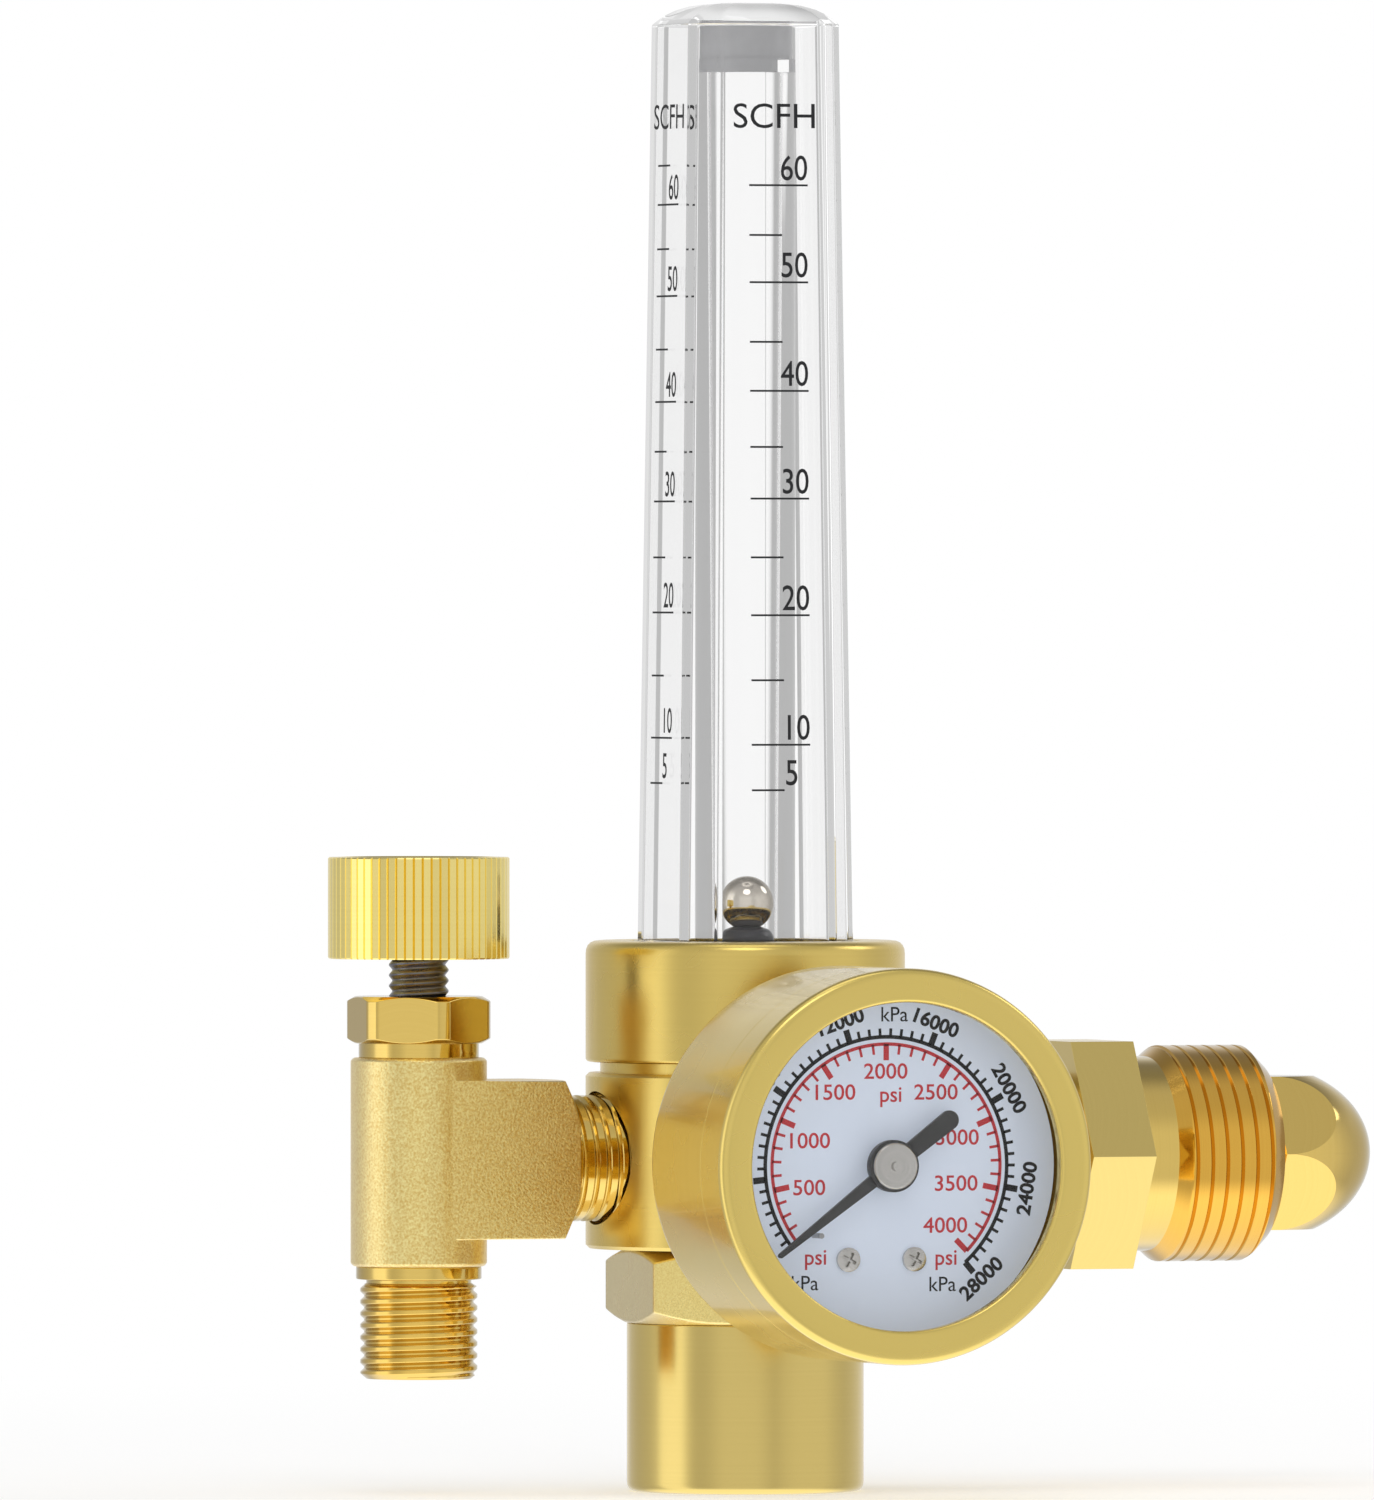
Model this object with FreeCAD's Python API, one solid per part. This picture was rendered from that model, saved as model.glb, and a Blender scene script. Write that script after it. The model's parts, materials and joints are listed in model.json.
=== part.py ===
import FreeCAD, Part
import math
import os

# Argon flowmeter regulator, in millimetres.
# The origin is the middle of the bonnet's flat end. +Z runs up the flow tube, the gauge
# looks towards -Y, the cylinder inlet points to +X and the outlet valve stands at -X.

V = FreeCAD.Vector

# Clearances
running_gap = 0.05          # between a shaft and the bore that it turns or slides in
nut_gap = 0.08              # between the inlet nut and the nipple it spins on
end_play = 0.3              # along the axis, at each end of the inlet nut
thread_gap = 0.02           # between screwed pieces, whose threads are plain cylinders
ring_gap = 0.03             # between a sliding seal ring and its bore

# Bonnet: turned barrel, wrench hexagon and screwed spigot
bonnet_radius = 13.35
bonnet_height = 19.0
bonnet_edge = 1.1
bonnet_hex_flats = 27.8
bonnet_hex_height = 8.4
bonnet_spigot_radius = 12.0
bonnet_spigot_drop = 4.46   # from the ports' axis down to the spigot's top
bonnet_floor = 3.0
spring_bore_radius = 8.0
vent_radius = 0.75
vent_height = 12.0
hex_bevel_angle = 30.0
hex_turned_share = 0.97     # of the flats' half width, left at a hexagon's ends

# Regulator body and its ports
body_radius = 18.0
body_height = 19.8
body_edge = 0.4
port_offset = 0.36          # height of the three ports' axis above the body's middle
inlet_boss_margin = 0.7     # the boss's radius is less than half the body's height by this
inlet_boss_length = 18.1    # out from the body's side
inlet_boss_edge = 0.8
gas_bore_radius = 2.0
filter_bore_radius = 4.0
filter_length = 9.0
filter_wall = 1.0
gauge_thread_radius = 4.9
gauge_bore_radius = 1.5
side_thread_radius = 7.1
side_countersink = 0.4
side_flare_length = 3.56    # of the countersink, over its cone and the curved side
port_wall = 0.45            # left between the bonnet's thread and the ports' floors
low_pressure_bore_radius = 1.25
low_pressure_bore_offset = 8.6
return_bore_radius = 0.9
return_bore_offset = 7.9

# Pressure-reducing valve inside the body and bonnet
seal_thickness = 0.6
seal_width = 1.9
chamber_radius = 9.9
chamber_height = 0.4
nozzle_radius = 4.5
nozzle_thickness = 2.0
nozzle_bore_radius = 1.2
cavity_radius = 3.5
cavity_height = 4.4
piston_radius = 9.5
piston_height = 4.4
piston_top_gap = 0.2
piston_stroke = 0.55
piston_boss_radius = 4.0
piston_boss_height = 4.6
piston_pin_radius = 0.8
piston_groove_depth = 1.5
seal_cord_radius = 0.76
poppet_radius = 2.4
poppet_height = 1.4
poppet_tip_radius = 1.5
poppet_lift = 0.6
poppet_stub_radius = 0.9
poppet_stub_height = 1.2
range_spring_radius = 6.0
range_spring_wire = 1.0
range_spring_turns = 6
poppet_spring_radius = 1.5
poppet_spring_wire = 0.22
poppet_spring_turns = 3

# Tube collar
neck_height = 1.2
neck_inset = 1.65           # depth of the groove round the neck
collar_height = 13.66
collar_top_edge = 1.5
collar_low_edge = 0.5
collar_spigot_radius = 11.0
collar_spigot_height = 3.1
gasket_thickness = 0.5
cover_thread_radius = 13.0
cover_thread_depth = 8.06
tube_pocket_depth = 4.0
channel_width = 2.5
channel_height = 1.5

# Flow tube, its cap, its ball and the ball's seat
tube_radius = 5.45
tube_bore_low = 3.15
tube_bore_high = 3.75
tube_cord_radius = 0.6
tube_groove_width = 1.2
tube_groove_depth = 1.8
seat_radius = 3.12
seat_rise = 1.54            # the seat's top above the collar
seat_shoulder = 1.35
seat_bore_radius = 1.1
ball_radius = 3.05
ball_sink = 0.4             # depth of the ball in the seat's cup
ball_seat_gap = 0.1
cap_height = 5.2
cap_radius = 5.125
cap_rim_radius = 5.45
cap_rim_height = 1.5
cap_recess_radius = 3.6
cap_recess_depth = 1.0
cap_slot_width = 1.3
cap_slot_offset = 4.1       # of the slot from the cap's middle
cap_slot_angle = 70.0       # direction of the slot, from +X

# Clear cover: a tapering square with broad chamfers, closed by a shallow dome
cover_flats_low = 20.8
cover_face_low = 14.15
cover_flats_high = 18.05
cover_face_high = 12.4
cover_height = 105.54       # above the collar
cover_dome_rise = 2.4
cover_dome_steps = (1.0, 0.9, 0.75, 0.55, 0.3)     # shares of the outline's width
cover_wall = 1.5
cover_ceiling = 2.6
cover_spigot_radius = 11.4
cover_spigot_height = 1.6
cover_cord_radius = 0.78

# Pressure gauge; heights in it count from the body's axis towards -Y
gauge_radius = 22.0
gauge_depth = 23.6
gauge_wall = 0.9
gauge_back_wall = 1.5
case_edge = 4.0             # rounding between the case's back and its side
case_inside_edge = 2.4
bezel_edge = 0.5
bezel_skirt = 6.8
bezel_lip = 1.2
bezel_face = 3.8            # from the gauge's side in to the window
window_bevel = 0.5
lens_thickness = 1.5
dial_recess = 6.9
dial_thickness = 0.4
dial_gap = 0.3              # between the dial and the case
dial_hole_radius = 1.2
dial_screw_spread = 3.9
dial_screw_shift = -0.64    # of the pair, to the side
dial_screw_drop = 10.4
dial_screw_head_radius = 1.3
dial_screw_head_height = 0.7
dial_screw_radius = 0.75
dial_screw_length = 3.9
dial_screw_slot = 0.35
stop_pin_radius = 0.3
stop_pin_height = 2.6
stop_pin_distance = 11.5
stop_pin_angle = 221.8
stem_neck = 2.0
stem_flats = 13.0
stem_flats_length = 8.7
stem_corner_radius = 8.4
socket_half_width = 6.5
socket_height = 6.8
socket_upper = 5.5
socket_lower_gap = 3.9      # between the block's lower end and the case
lug_radius = 1.8
bourdon_gap = 5.3           # between the tube and the case
bourdon_depth = 1.6
bourdon_width = 4.5
bourdon_start = -75.0
bourdon_sweep = 275.0
bourdon_rise = 1.4          # above the case's floor
plate_thickness = 0.9
plate_half_width = 7.4
plate_upper = 11.4
plate_lower = 3.4
plate_spacing = 4.4
pillar_radius = 0.9
pillar_inset = 1.35
arbor_radius = 0.5
arbor_end_play = 0.3

# Pointer
pointer_angle = 216.8       # at rest, counted from +X towards +Z
pointer_recess = 5.0
pointer_thickness = 0.5
pointer_boss_radius = 2.9
pointer_boss_height = 1.0
pointer_tip_gap = 1.5       # from the pointer's tip out to the window's edge
pointer_root_width = 1.6
pointer_tip_width = 0.55
tail_reach = 9.5
tail_root_width = 1.8
tail_tip_width = 2.15
bush_radius = 2.6
bush_height = 1.2
bush_edge = 0.2

# Outlet valve
valve_radius = 7.65
valve_drop = 11.96          # the barrel's lower end below the port's axis
valve_rise = 11.44
valve_edge = 0.35
branch_gap = 4.3            # between the body and the branch
branch_length = 16.7
branch_height = 17.7
branch_depth = 15.0
branch_cone_radius = 8.3
side_spigot_radius = 5.5
side_spigot_length = 4.7
valve_bore_radius = 1.95
valve_chamber_radius = 4.0
valve_chamber_drop = 4.16
orifice_radius = 1.5
gland_radius = 5.6
gland_depth = 7.6
packing_height = 1.9
nut_neck_radius = 6.75
nut_neck_height = 1.6
nut_flats = 14.7
nut_height = 5.3
nut_corner_radius = 8.1     # the hexagon's corners are turned down to this
stem_thread_radius = 3.35
stem_thread_pitch = 1.18
stem_rod_radius = 2.0
stem_rise = 0.74            # the stem's lower end above the port's axis
stem_rod_length = 7.6
stem_socket_radius = 1.05
stem_socket_depth = 3.4
needle_shank_radius = 1.0
needle_radius = 1.9
needle_tip_radius = 0.3
needle_slope = 0.35         # radius gained for each millimetre up the cone
stem_exposed = 4.2          # thread between the packing nut and the knob
knob_height = 11.4
knob_radius = 10.2
knob_flutes = 64
knob_flute_depth = 0.45
knob_crest_share = 0.4      # of each flute's step
knob_edge = 0.15
knob_bore_depth = 8.3

# Outlet adapter
outlet_thread_radius = 6.58
outlet_length = 12.6
outlet_shoulder_radius = 7.05
outlet_shoulder_height = 1.45
outlet_relief_radius = 5.55
outlet_relief_height = 0.9
outlet_edge = 0.7
outlet_spigot_radius = 5.6
outlet_spigot_height = 5.1

# Inlet nipple and nut; distances along them are measured from the body's axis towards +X
nipple_thread_radius = 6.9
nipple_thread_length = 12.0
nipple_shaft_radius = 6.3
nipple_bore_radius = 1.5
nose_flats = 17.4
nose_length = 13.3
nose_radius = 10.07
nose_round_start = 0.3
inlet_nut_flats = 25.7
inlet_hex_length = 7.6
inlet_neck_radius = 11.04
inlet_neck_length = 3.2
inlet_runout_length = 2.3
inlet_thread_radius = 12.255
inlet_thread_length = 9.8
inlet_end_radius = 10.85
inlet_end_length = 1.9

# Places worked out from the sizes above
body_low = bonnet_height + bonnet_hex_height
body_top = body_low + body_height
port_height = body_low + body_height / 2 + port_offset
bonnet_top = port_height - bonnet_spigot_drop
seal_top = bonnet_top + seal_thickness
chamber_ceiling = seal_top + chamber_height
nozzle_top = chamber_ceiling + nozzle_thickness
cavity_top = nozzle_top + cavity_height
piston_top = bonnet_top - piston_top_gap
piston_low = piston_top - piston_height
piston_shoulder = piston_low - piston_stroke - piston_top_gap
poppet_low = nozzle_top + poppet_lift
collar_low = body_top + neck_height
collar_top = collar_low + collar_height
collar_radius = body_radius
neck_radius = body_radius - neck_inset
inlet_boss_radius = body_height / 2 - inlet_boss_margin
inlet_boss_reach = body_radius + inlet_boss_length
port_floor = bonnet_spigot_radius + port_wall
spigot_low = body_top - collar_spigot_height
collar_socket_floor = spigot_low - gasket_thickness
recess_floor = collar_top - cover_thread_depth
tube_floor = recess_floor - tube_pocket_depth
cover_top = collar_top + cover_height
cover_shoulder = cover_top - cover_dome_rise
cap_top = cover_top - cover_ceiling
tube_top = cap_top - cap_height
seat_top = collar_top + seat_rise
ball_height = seat_top + ball_radius - ball_sink
gauge_back = body_radius + stem_neck + stem_flats_length
gauge_front = gauge_back + gauge_depth
case_radius = gauge_radius - 2 * gauge_wall
window_radius = gauge_radius - bezel_face
dial_radius = case_radius - dial_gap
bourdon_radius = case_radius - bourdon_gap - bourdon_depth / 2
socket_lower = case_radius - socket_lower_gap
pointer_reach = window_radius - pointer_tip_gap
case_floor = gauge_back + gauge_back_wall
case_front = gauge_front - bezel_lip - lens_thickness
dial_front = gauge_front - dial_recess
dial_back = dial_front - dial_thickness
socket_top = case_floor + socket_height
bourdon_height = case_floor + bourdon_rise
pointer_back = gauge_front - pointer_recess - pointer_thickness / 2
branch_end = body_radius + branch_gap
valve_offset = branch_end + branch_length
valve_low = port_height - valve_drop
valve_high = port_height + valve_rise
valve_chamber_low = port_height - valve_chamber_drop
gland_floor = valve_high - gland_depth
nut_hex_low = valve_high + nut_neck_height
nut_low = gland_floor + packing_height
stem_low = port_height + stem_rise
stem_thread_low = stem_low + stem_rod_length
knob_low = nut_hex_low + nut_height + stem_exposed
outlet_low = valve_low - outlet_length
filter_start = inlet_boss_reach - nipple_thread_length
nut_start = inlet_boss_reach + end_play
nut_end = (nut_start + inlet_hex_length + inlet_neck_length + inlet_runout_length
           + inlet_thread_length + inlet_end_length)
nose_start = nut_end + end_play


# Basic forms

def rod(radius, low, high, x=0.0, y=0.0):
    """A cylinder that stands along Z."""
    return Part.makeCylinder(radius, high - low, V(x, y, low))


def turned(profile, sweep=360.0):
    """Turn an outline of (radius, height) points about Z."""
    points = [V(radius, 0, height) for radius, height in profile]
    face = Part.Face(Part.makePolygon(points + points[:1]))
    return face.revolve(V(0, 0, 0), V(0, 0, 1), sweep)


def ring(outer, inner, low, high):
    """A flat ring about Z."""
    return rod(outer, low, high).cut(rod(inner, low, high))


def seal_ring(radius, cord_radius, height):
    """A round-section ring about Z."""
    return Part.makeTorus(radius, cord_radius, V(0, 0, height), V(0, 0, 1))


def prism(points, low, high):
    """An outline of (x, y) points carried along Z."""
    corners = [V(x, y, low) for x, y in points]
    face = Part.Face(Part.makePolygon(corners + corners[:1]))
    return face.extrude(V(0, 0, high - low))


def polygon(count, radius, first_angle):
    """The corners of a regular polygon."""
    angles = [math.radians(first_angle + 360.0 * step / count) for step in range(count)]
    return [(radius * math.cos(angle), radius * math.sin(angle)) for angle in angles]


def hexagon(flats, corner, low, high, first_angle):
    """A wrench hexagon about Z, turned down to a corner radius and bevelled at both ends."""
    sharp = flats / 2 / math.cos(math.pi / 6)
    inside = flats / 2 * hex_turned_share
    slope = math.tan(math.radians(hex_bevel_angle))
    drop = (corner - inside) * slope
    blank = turned([(0, low), (inside, low), (corner, low + drop), (corner, high - drop),
                    (inside, high), (0, high)])
    return prism(polygon(6, sharp, first_angle), low, high).common(blank)


def spring(radius, wire_radius, low, high, turns):
    """An open coil spring about Z."""
    start = low + wire_radius
    length = high - low - 2 * wire_radius
    path = Part.makeHelix(length / turns, length, radius)
    path.translate(V(0, 0, start))
    section = Part.Wire(Part.makeCircle(wire_radius, V(radius, 0, start), V(0, 1, 0)))
    return Part.Wire(path).makePipeShell([section], True, True)


def cut_each(solid, tools):
    """Take the tools out of a solid one after another."""
    for tool in tools:
        solid = solid.cut(tool)
    return solid


def to_gauge(shape):
    """Lay a shape made about Z along the gauge's axis, with its height towards -Y."""
    shape = shape.copy()
    shape.rotate(V(0, 0, 0), V(1, 0, 0), 90)
    shape.translate(V(0, 0, port_height))
    return shape


def to_inlet(shape):
    """Lay a shape made about Z along the inlet's axis, with its height towards +X."""
    shape = shape.copy()
    shape.rotate(V(0, 0, 0), V(0, 1, 0), 90)
    shape.translate(V(0, 0, port_height))
    return shape


def to_outlet(shape):
    """Lay a shape made about Z along the side port's axis, with its height towards -X."""
    shape = shape.copy()
    shape.rotate(V(0, 0, 0), V(0, 1, 0), -90)
    shape.translate(V(0, 0, port_height))
    return shape


def at_valve(shape):
    """Move a shape made about Z onto the outlet valve's axis."""
    shape = shape.copy()
    shape.translate(V(-valve_offset, 0, 0))
    return shape


# Pressure-reducing part

def make_bonnet():
    """Turned barrel, hexagon and screwed spigot, bored for the spring and the piston."""
    edge_middle = bonnet_edge * (1 - math.cos(math.pi / 4))
    barrel = turned([(0, 0), (bonnet_radius - bonnet_edge, 0),
                     (bonnet_radius - edge_middle, edge_middle),
                     (bonnet_radius, bonnet_edge), (bonnet_radius, bonnet_height),
                     (0, bonnet_height)])
    corner = bonnet_hex_flats / 2 / math.cos(math.pi / 6)
    nut = hexagon(bonnet_hex_flats, corner, bonnet_height, body_low, -90)
    spigot = rod(bonnet_spigot_radius, body_low, bonnet_top)
    solid = barrel.fuse([nut, spigot])
    solid = solid.cut(rod(spring_bore_radius, bonnet_floor, piston_shoulder))
    solid = solid.cut(rod(piston_radius + running_gap, piston_shoulder, bonnet_top))
    vent = Part.makeCylinder(vent_radius, bonnet_radius, V(0, 0, vent_height), V(0, 1, 0))
    return solid.cut(vent).removeSplitter()


def make_bonnet_seal():
    """Flat ring pinched between the bonnet's spigot and the body."""
    outer = bonnet_spigot_radius
    return ring(outer, outer - seal_width, bonnet_top, seal_top)


def make_range_spring():
    """Spring that holds the piston up."""
    return spring(range_spring_radius, range_spring_wire, bonnet_floor, piston_low,
                  range_spring_turns)


def make_piston():
    """Piston head with a seal groove, a boss inside the spring and the opening pin."""
    groove_root = piston_radius - piston_groove_depth
    groove_low = piston_low + piston_height / 2 - seal_cord_radius
    groove_high = groove_low + 2 * seal_cord_radius
    boss_low = piston_low - piston_boss_height
    head = turned([(0, boss_low), (piston_boss_radius, boss_low),
                   (piston_boss_radius, piston_low), (piston_radius, piston_low),
                   (piston_radius, groove_low), (groove_root, groove_low),
                   (groove_root, groove_high), (piston_radius, groove_high),
                   (piston_radius, piston_top), (piston_pin_radius, piston_top),
                   (piston_pin_radius, poppet_low), (0, poppet_low)])
    return head


def make_piston_seal():
    """Seal ring in the piston's groove."""
    outer = piston_radius + running_gap - ring_gap
    middle = piston_low + piston_height / 2
    return seal_ring(outer - seal_cord_radius, seal_cord_radius, middle)


def make_nozzle():
    """Seat insert between the high-pressure cavity and the piston's chamber."""
    return ring(nozzle_radius, nozzle_bore_radius, chamber_ceiling, nozzle_top)


def make_poppet():
    """Small valve head that the piston's pin lifts off the nozzle."""
    cone_height = poppet_radius - poppet_tip_radius
    high = poppet_low + poppet_height
    stub_top = high + poppet_stub_height
    return turned([(0, poppet_low), (poppet_tip_radius, poppet_low),
                   (poppet_radius, poppet_low + cone_height), (poppet_radius, high),
                   (poppet_stub_radius, high), (poppet_stub_radius, stub_top),
                   (0, stub_top)])


def make_poppet_spring():
    """Light spring that closes the poppet."""
    return spring(poppet_spring_radius, poppet_spring_wire, poppet_low + poppet_height,
                  cavity_top, poppet_spring_turns)


def make_regulator_body():
    """Round body with the inlet boss, bored and threaded for every piece around it."""
    edge = body_edge
    barrel = turned([(0, body_low), (body_radius - edge, body_low),
                     (body_radius, body_low + edge), (body_radius, body_top - edge),
                     (body_radius - edge, body_top), (0, body_top)])
    edge = inlet_boss_edge
    boss = turned([(0, 0), (inlet_boss_radius, 0),
                   (inlet_boss_radius, inlet_boss_reach - edge),
                   (inlet_boss_radius - edge, inlet_boss_reach), (0, inlet_boss_reach)])
    solid = barrel.fuse(to_inlet(boss))

    bonnet_socket = rod(bonnet_spigot_radius + thread_gap, body_low, seal_top)
    chamber = rod(chamber_radius, seal_top, chamber_ceiling)
    nozzle_socket = rod(nozzle_radius, chamber_ceiling, nozzle_top)
    cavity = rod(cavity_radius, nozzle_top, cavity_top)
    low_pressure = rod(low_pressure_bore_radius, chamber_ceiling, collar_socket_floor,
                       0, low_pressure_bore_offset)

    filter_end = filter_start - filter_length
    inlet = to_inlet(rod(nipple_thread_radius + thread_gap, filter_start, inlet_boss_reach))
    filter_bore = to_inlet(rod(filter_bore_radius, filter_end, filter_start))
    inlet_bore = to_inlet(rod(gas_bore_radius, 0, filter_end))

    gauge_socket = to_gauge(rod(gauge_thread_radius + thread_gap, port_floor, body_radius))
    gauge_bore = to_gauge(rod(gauge_bore_radius, 0, port_floor))

    wide = side_thread_radius + thread_gap
    flare_low = body_radius - side_flare_length
    flare = turned([(0, port_floor), (wide, port_floor), (wide, flare_low),
                    (wide + side_countersink, flare_low + side_countersink),
                    (wide + side_countersink, body_radius), (0, body_radius)])
    side_socket = to_outlet(rod(wide, port_floor, body_radius)).fuse(to_outlet(flare))
    side_bore = to_outlet(rod(valve_bore_radius, return_bore_offset, port_floor))
    return_bore = rod(return_bore_radius, port_height, collar_socket_floor,
                      -return_bore_offset, 0)

    collar_socket = rod(collar_spigot_radius + thread_gap, collar_socket_floor, body_top)
    return cut_each(solid, [bonnet_socket, chamber, nozzle_socket, cavity, low_pressure,
                            inlet, filter_bore, inlet_bore, gauge_socket, gauge_bore,
                            side_socket, side_bore, return_bore, collar_socket])


# Inlet

def make_inlet_filter():
    """Porous cup, open towards the inlet."""
    low = filter_start - filter_length
    cup = rod(filter_bore_radius - thread_gap, low, filter_start)
    return to_inlet(cup.cut(rod(filter_bore_radius - filter_wall, low + filter_wall,
                                filter_start)))


def make_inlet_nipple():
    """Screwed tail, shaft for the nut and a hexagonal nose rounded to a bullet."""
    middle = nose_start + nose_round_start
    oval = Part.Ellipse(V(0, 0, middle + nose_length), V(nose_radius, 0, middle),
                        V(0, 0, middle))
    arc = Part.ArcOfEllipse(oval, 0, math.pi / 2).toShape()
    corner = V(nose_radius, 0, middle)
    outline = Part.makePolygon([corner, V(nose_radius, 0, nose_start), V(0, 0, nose_start),
                                V(0, 0, middle + nose_length)])
    face = Part.Face(Part.Wire([arc] + outline.Edges))
    bullet = face.revolve(V(0, 0, 0), V(0, 0, 1), 360)
    corner_radius = nose_flats / 2 / math.cos(math.pi / 6)
    bar = prism(polygon(6, corner_radius, 90), nose_start, middle + nose_length)
    tail = rod(nipple_thread_radius, filter_start, inlet_boss_reach)
    shaft = rod(nipple_shaft_radius, inlet_boss_reach, nose_start)
    solid = bullet.common(bar).fuse([tail, shaft])
    bore = rod(nipple_bore_radius, filter_start, middle + nose_length)
    return to_inlet(solid.cut(bore).removeSplitter())


def make_inlet_nut():
    """Nut that spins on the nipple: hexagon, plain neck and male cylinder thread."""
    hex_end = nut_start + inlet_hex_length
    neck_end = hex_end + inlet_neck_length
    thread_start = neck_end + inlet_runout_length
    thread_end = thread_start + inlet_thread_length
    corner_radius = inlet_nut_flats / 2 / math.cos(math.pi / 6)
    head = prism(polygon(6, corner_radius, 90), nut_start, hex_end)
    barrel = turned([(0, hex_end), (inlet_neck_radius, hex_end),
                     (inlet_neck_radius, neck_end), (inlet_thread_radius, thread_start),
                     (inlet_thread_radius, thread_end), (inlet_end_radius, nut_end),
                     (0, nut_end)])
    bore = rod(nipple_shaft_radius + nut_gap, nut_start, nut_end)
    return to_inlet(head.fuse(barrel).cut(bore).removeSplitter())


# Flow tube and its cover

def make_tube_collar():
    """Collar that carries the tube and the cover, with the gas ways through it."""
    neck_edge = collar_low_edge
    top_middle = collar_top_edge * (1 - math.cos(math.pi / 4))
    outer = turned([(0, spigot_low), (collar_spigot_radius, spigot_low),
                    (collar_spigot_radius, body_top), (neck_radius, body_top),
                    (neck_radius, collar_low), (collar_radius - neck_edge, collar_low),
                    (collar_radius, collar_low + neck_edge),
                    (collar_radius, collar_top - collar_top_edge),
                    (collar_radius - top_middle, collar_top - top_middle),
                    (collar_radius - collar_top_edge, collar_top), (0, collar_top)])
    recess = rod(cover_thread_radius + thread_gap, recess_floor, collar_top)
    pocket = rod(tube_radius + thread_gap, tube_floor, recess_floor)
    groove = rod(tube_radius + tube_groove_width, recess_floor - tube_groove_depth,
                 recess_floor)
    feed = rod(low_pressure_bore_radius, spigot_low, tube_floor)
    channel = Part.makeBox(channel_width, low_pressure_bore_offset, channel_height,
                           V(-channel_width / 2, 0, spigot_low))
    channel_end = rod(channel_width / 2, spigot_low, spigot_low + channel_height,
                      0, low_pressure_bore_offset)
    back = rod(return_bore_radius, spigot_low, recess_floor, -return_bore_offset, 0)
    return cut_each(outer, [recess, pocket, groove, feed, channel, channel_end, back])


def make_collar_gasket():
    """Flat gasket under the collar's spigot, pierced for the two gas ways."""
    disc = rod(collar_spigot_radius, collar_socket_floor, spigot_low)
    feed = rod(low_pressure_bore_radius, collar_socket_floor, spigot_low,
               0, low_pressure_bore_offset)
    back = rod(return_bore_radius, collar_socket_floor, spigot_low, -return_bore_offset, 0)
    return cut_each(disc, [feed, back])


def make_tube_seal():
    """Seal ring round the tube's foot."""
    return seal_ring(tube_radius + tube_cord_radius, tube_cord_radius,
                     recess_floor - tube_groove_depth + tube_cord_radius)


def make_flow_tube():
    """Clear tube whose bore widens upwards above the ball's seat."""
    return turned([(tube_bore_low, tube_floor), (tube_radius, tube_floor),
                   (tube_radius, tube_top), (tube_bore_high, tube_top),
                   (tube_bore_low, seat_top)])


def make_ball_seat():
    """Plug in the tube's foot, with a gas hole and a cup for the ball."""
    shoulder_middle = seat_shoulder * (1 - math.cos(math.pi / 4))
    plug = turned([(0, tube_floor), (seat_radius, tube_floor),
                   (seat_radius, seat_top - seat_shoulder),
                   (seat_radius - shoulder_middle, seat_top - shoulder_middle),
                   (seat_radius - seat_shoulder, seat_top), (0, seat_top)])
    cup = Part.makeSphere(ball_radius + ball_seat_gap, V(0, 0, ball_height))
    return cut_each(plug, [cup, rod(seat_bore_radius, tube_floor, seat_top)])


def make_flow_ball():
    """Steel ball that the gas lifts."""
    return Part.makeSphere(ball_radius, V(0, 0, ball_height))


def make_tube_cap():
    """Cap on the tube, with a slot across its rim where the gas leaves."""
    rim_top = tube_top + cap_rim_height
    recess_top = tube_top + cap_recess_depth
    solid = turned([(0, recess_top), (cap_recess_radius, recess_top),
                    (cap_recess_radius, tube_top), (cap_rim_radius, tube_top),
                    (cap_rim_radius, rim_top), (cap_radius, rim_top), (cap_radius, cap_top),
                    (0, cap_top)])
    slot = Part.makeBox(2 * cap_rim_radius, cap_slot_width, cap_rim_height,
                        V(-cap_rim_radius, -cap_slot_offset - cap_slot_width / 2, tube_top))
    slot.rotate(V(0, 0, 0), V(0, 0, 1), cap_slot_angle)
    return solid.cut(slot)


def cover_outline(height, inset, share=1.0, level=None):
    """The cover's outline at a height, moved inwards by inset, then shrunk to a share of its
    width and set at another level."""
    rise = (height - collar_top) / (cover_shoulder - collar_top)
    flats = cover_flats_low + rise * (cover_flats_high - cover_flats_low)
    face = cover_face_low + rise * (cover_face_high - cover_face_low)
    half_flats = flats / 2 - inset
    half_face = face / 2 - inset * math.tan(math.pi / 8)
    corners = []
    for quarter in range(4):
        turn = math.radians(90 * quarter)
        for x, y in ((half_flats, -half_face), (half_flats, half_face)):
            corners.append(V(share * (x * math.cos(turn) - y * math.sin(turn)),
                             share * (x * math.sin(turn) + y * math.cos(turn)),
                             height if level is None else level))
    return Part.makePolygon(corners + corners[:1])


def make_tube_cover():
    """Clear cover with a screwed round foot, eight tapering sides and a low eight-sided dome."""
    rings = [cover_outline(collar_top, 0)]
    least = min(cover_dome_steps) ** 2
    for share in cover_dome_steps:
        rise = cover_dome_rise * (1 - share ** 2) / (1 - least)
        rings.append(cover_outline(cover_shoulder, 0, share, cover_shoulder + rise))
    body = Part.makeLoft(rings, True, True)
    spigot_top = recess_floor + cover_spigot_height
    foot = turned([(0, recess_floor), (cover_spigot_radius, recess_floor),
                   (cover_spigot_radius, spigot_top), (cover_thread_radius, spigot_top),
                   (cover_thread_radius, collar_top), (0, collar_top)])
    hollow = Part.makeLoft([cover_outline(recess_floor, cover_wall),
                            cover_outline(cap_top, cover_wall)], True, True)
    return body.fuse(foot).cut(hollow).removeSplitter()


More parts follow.
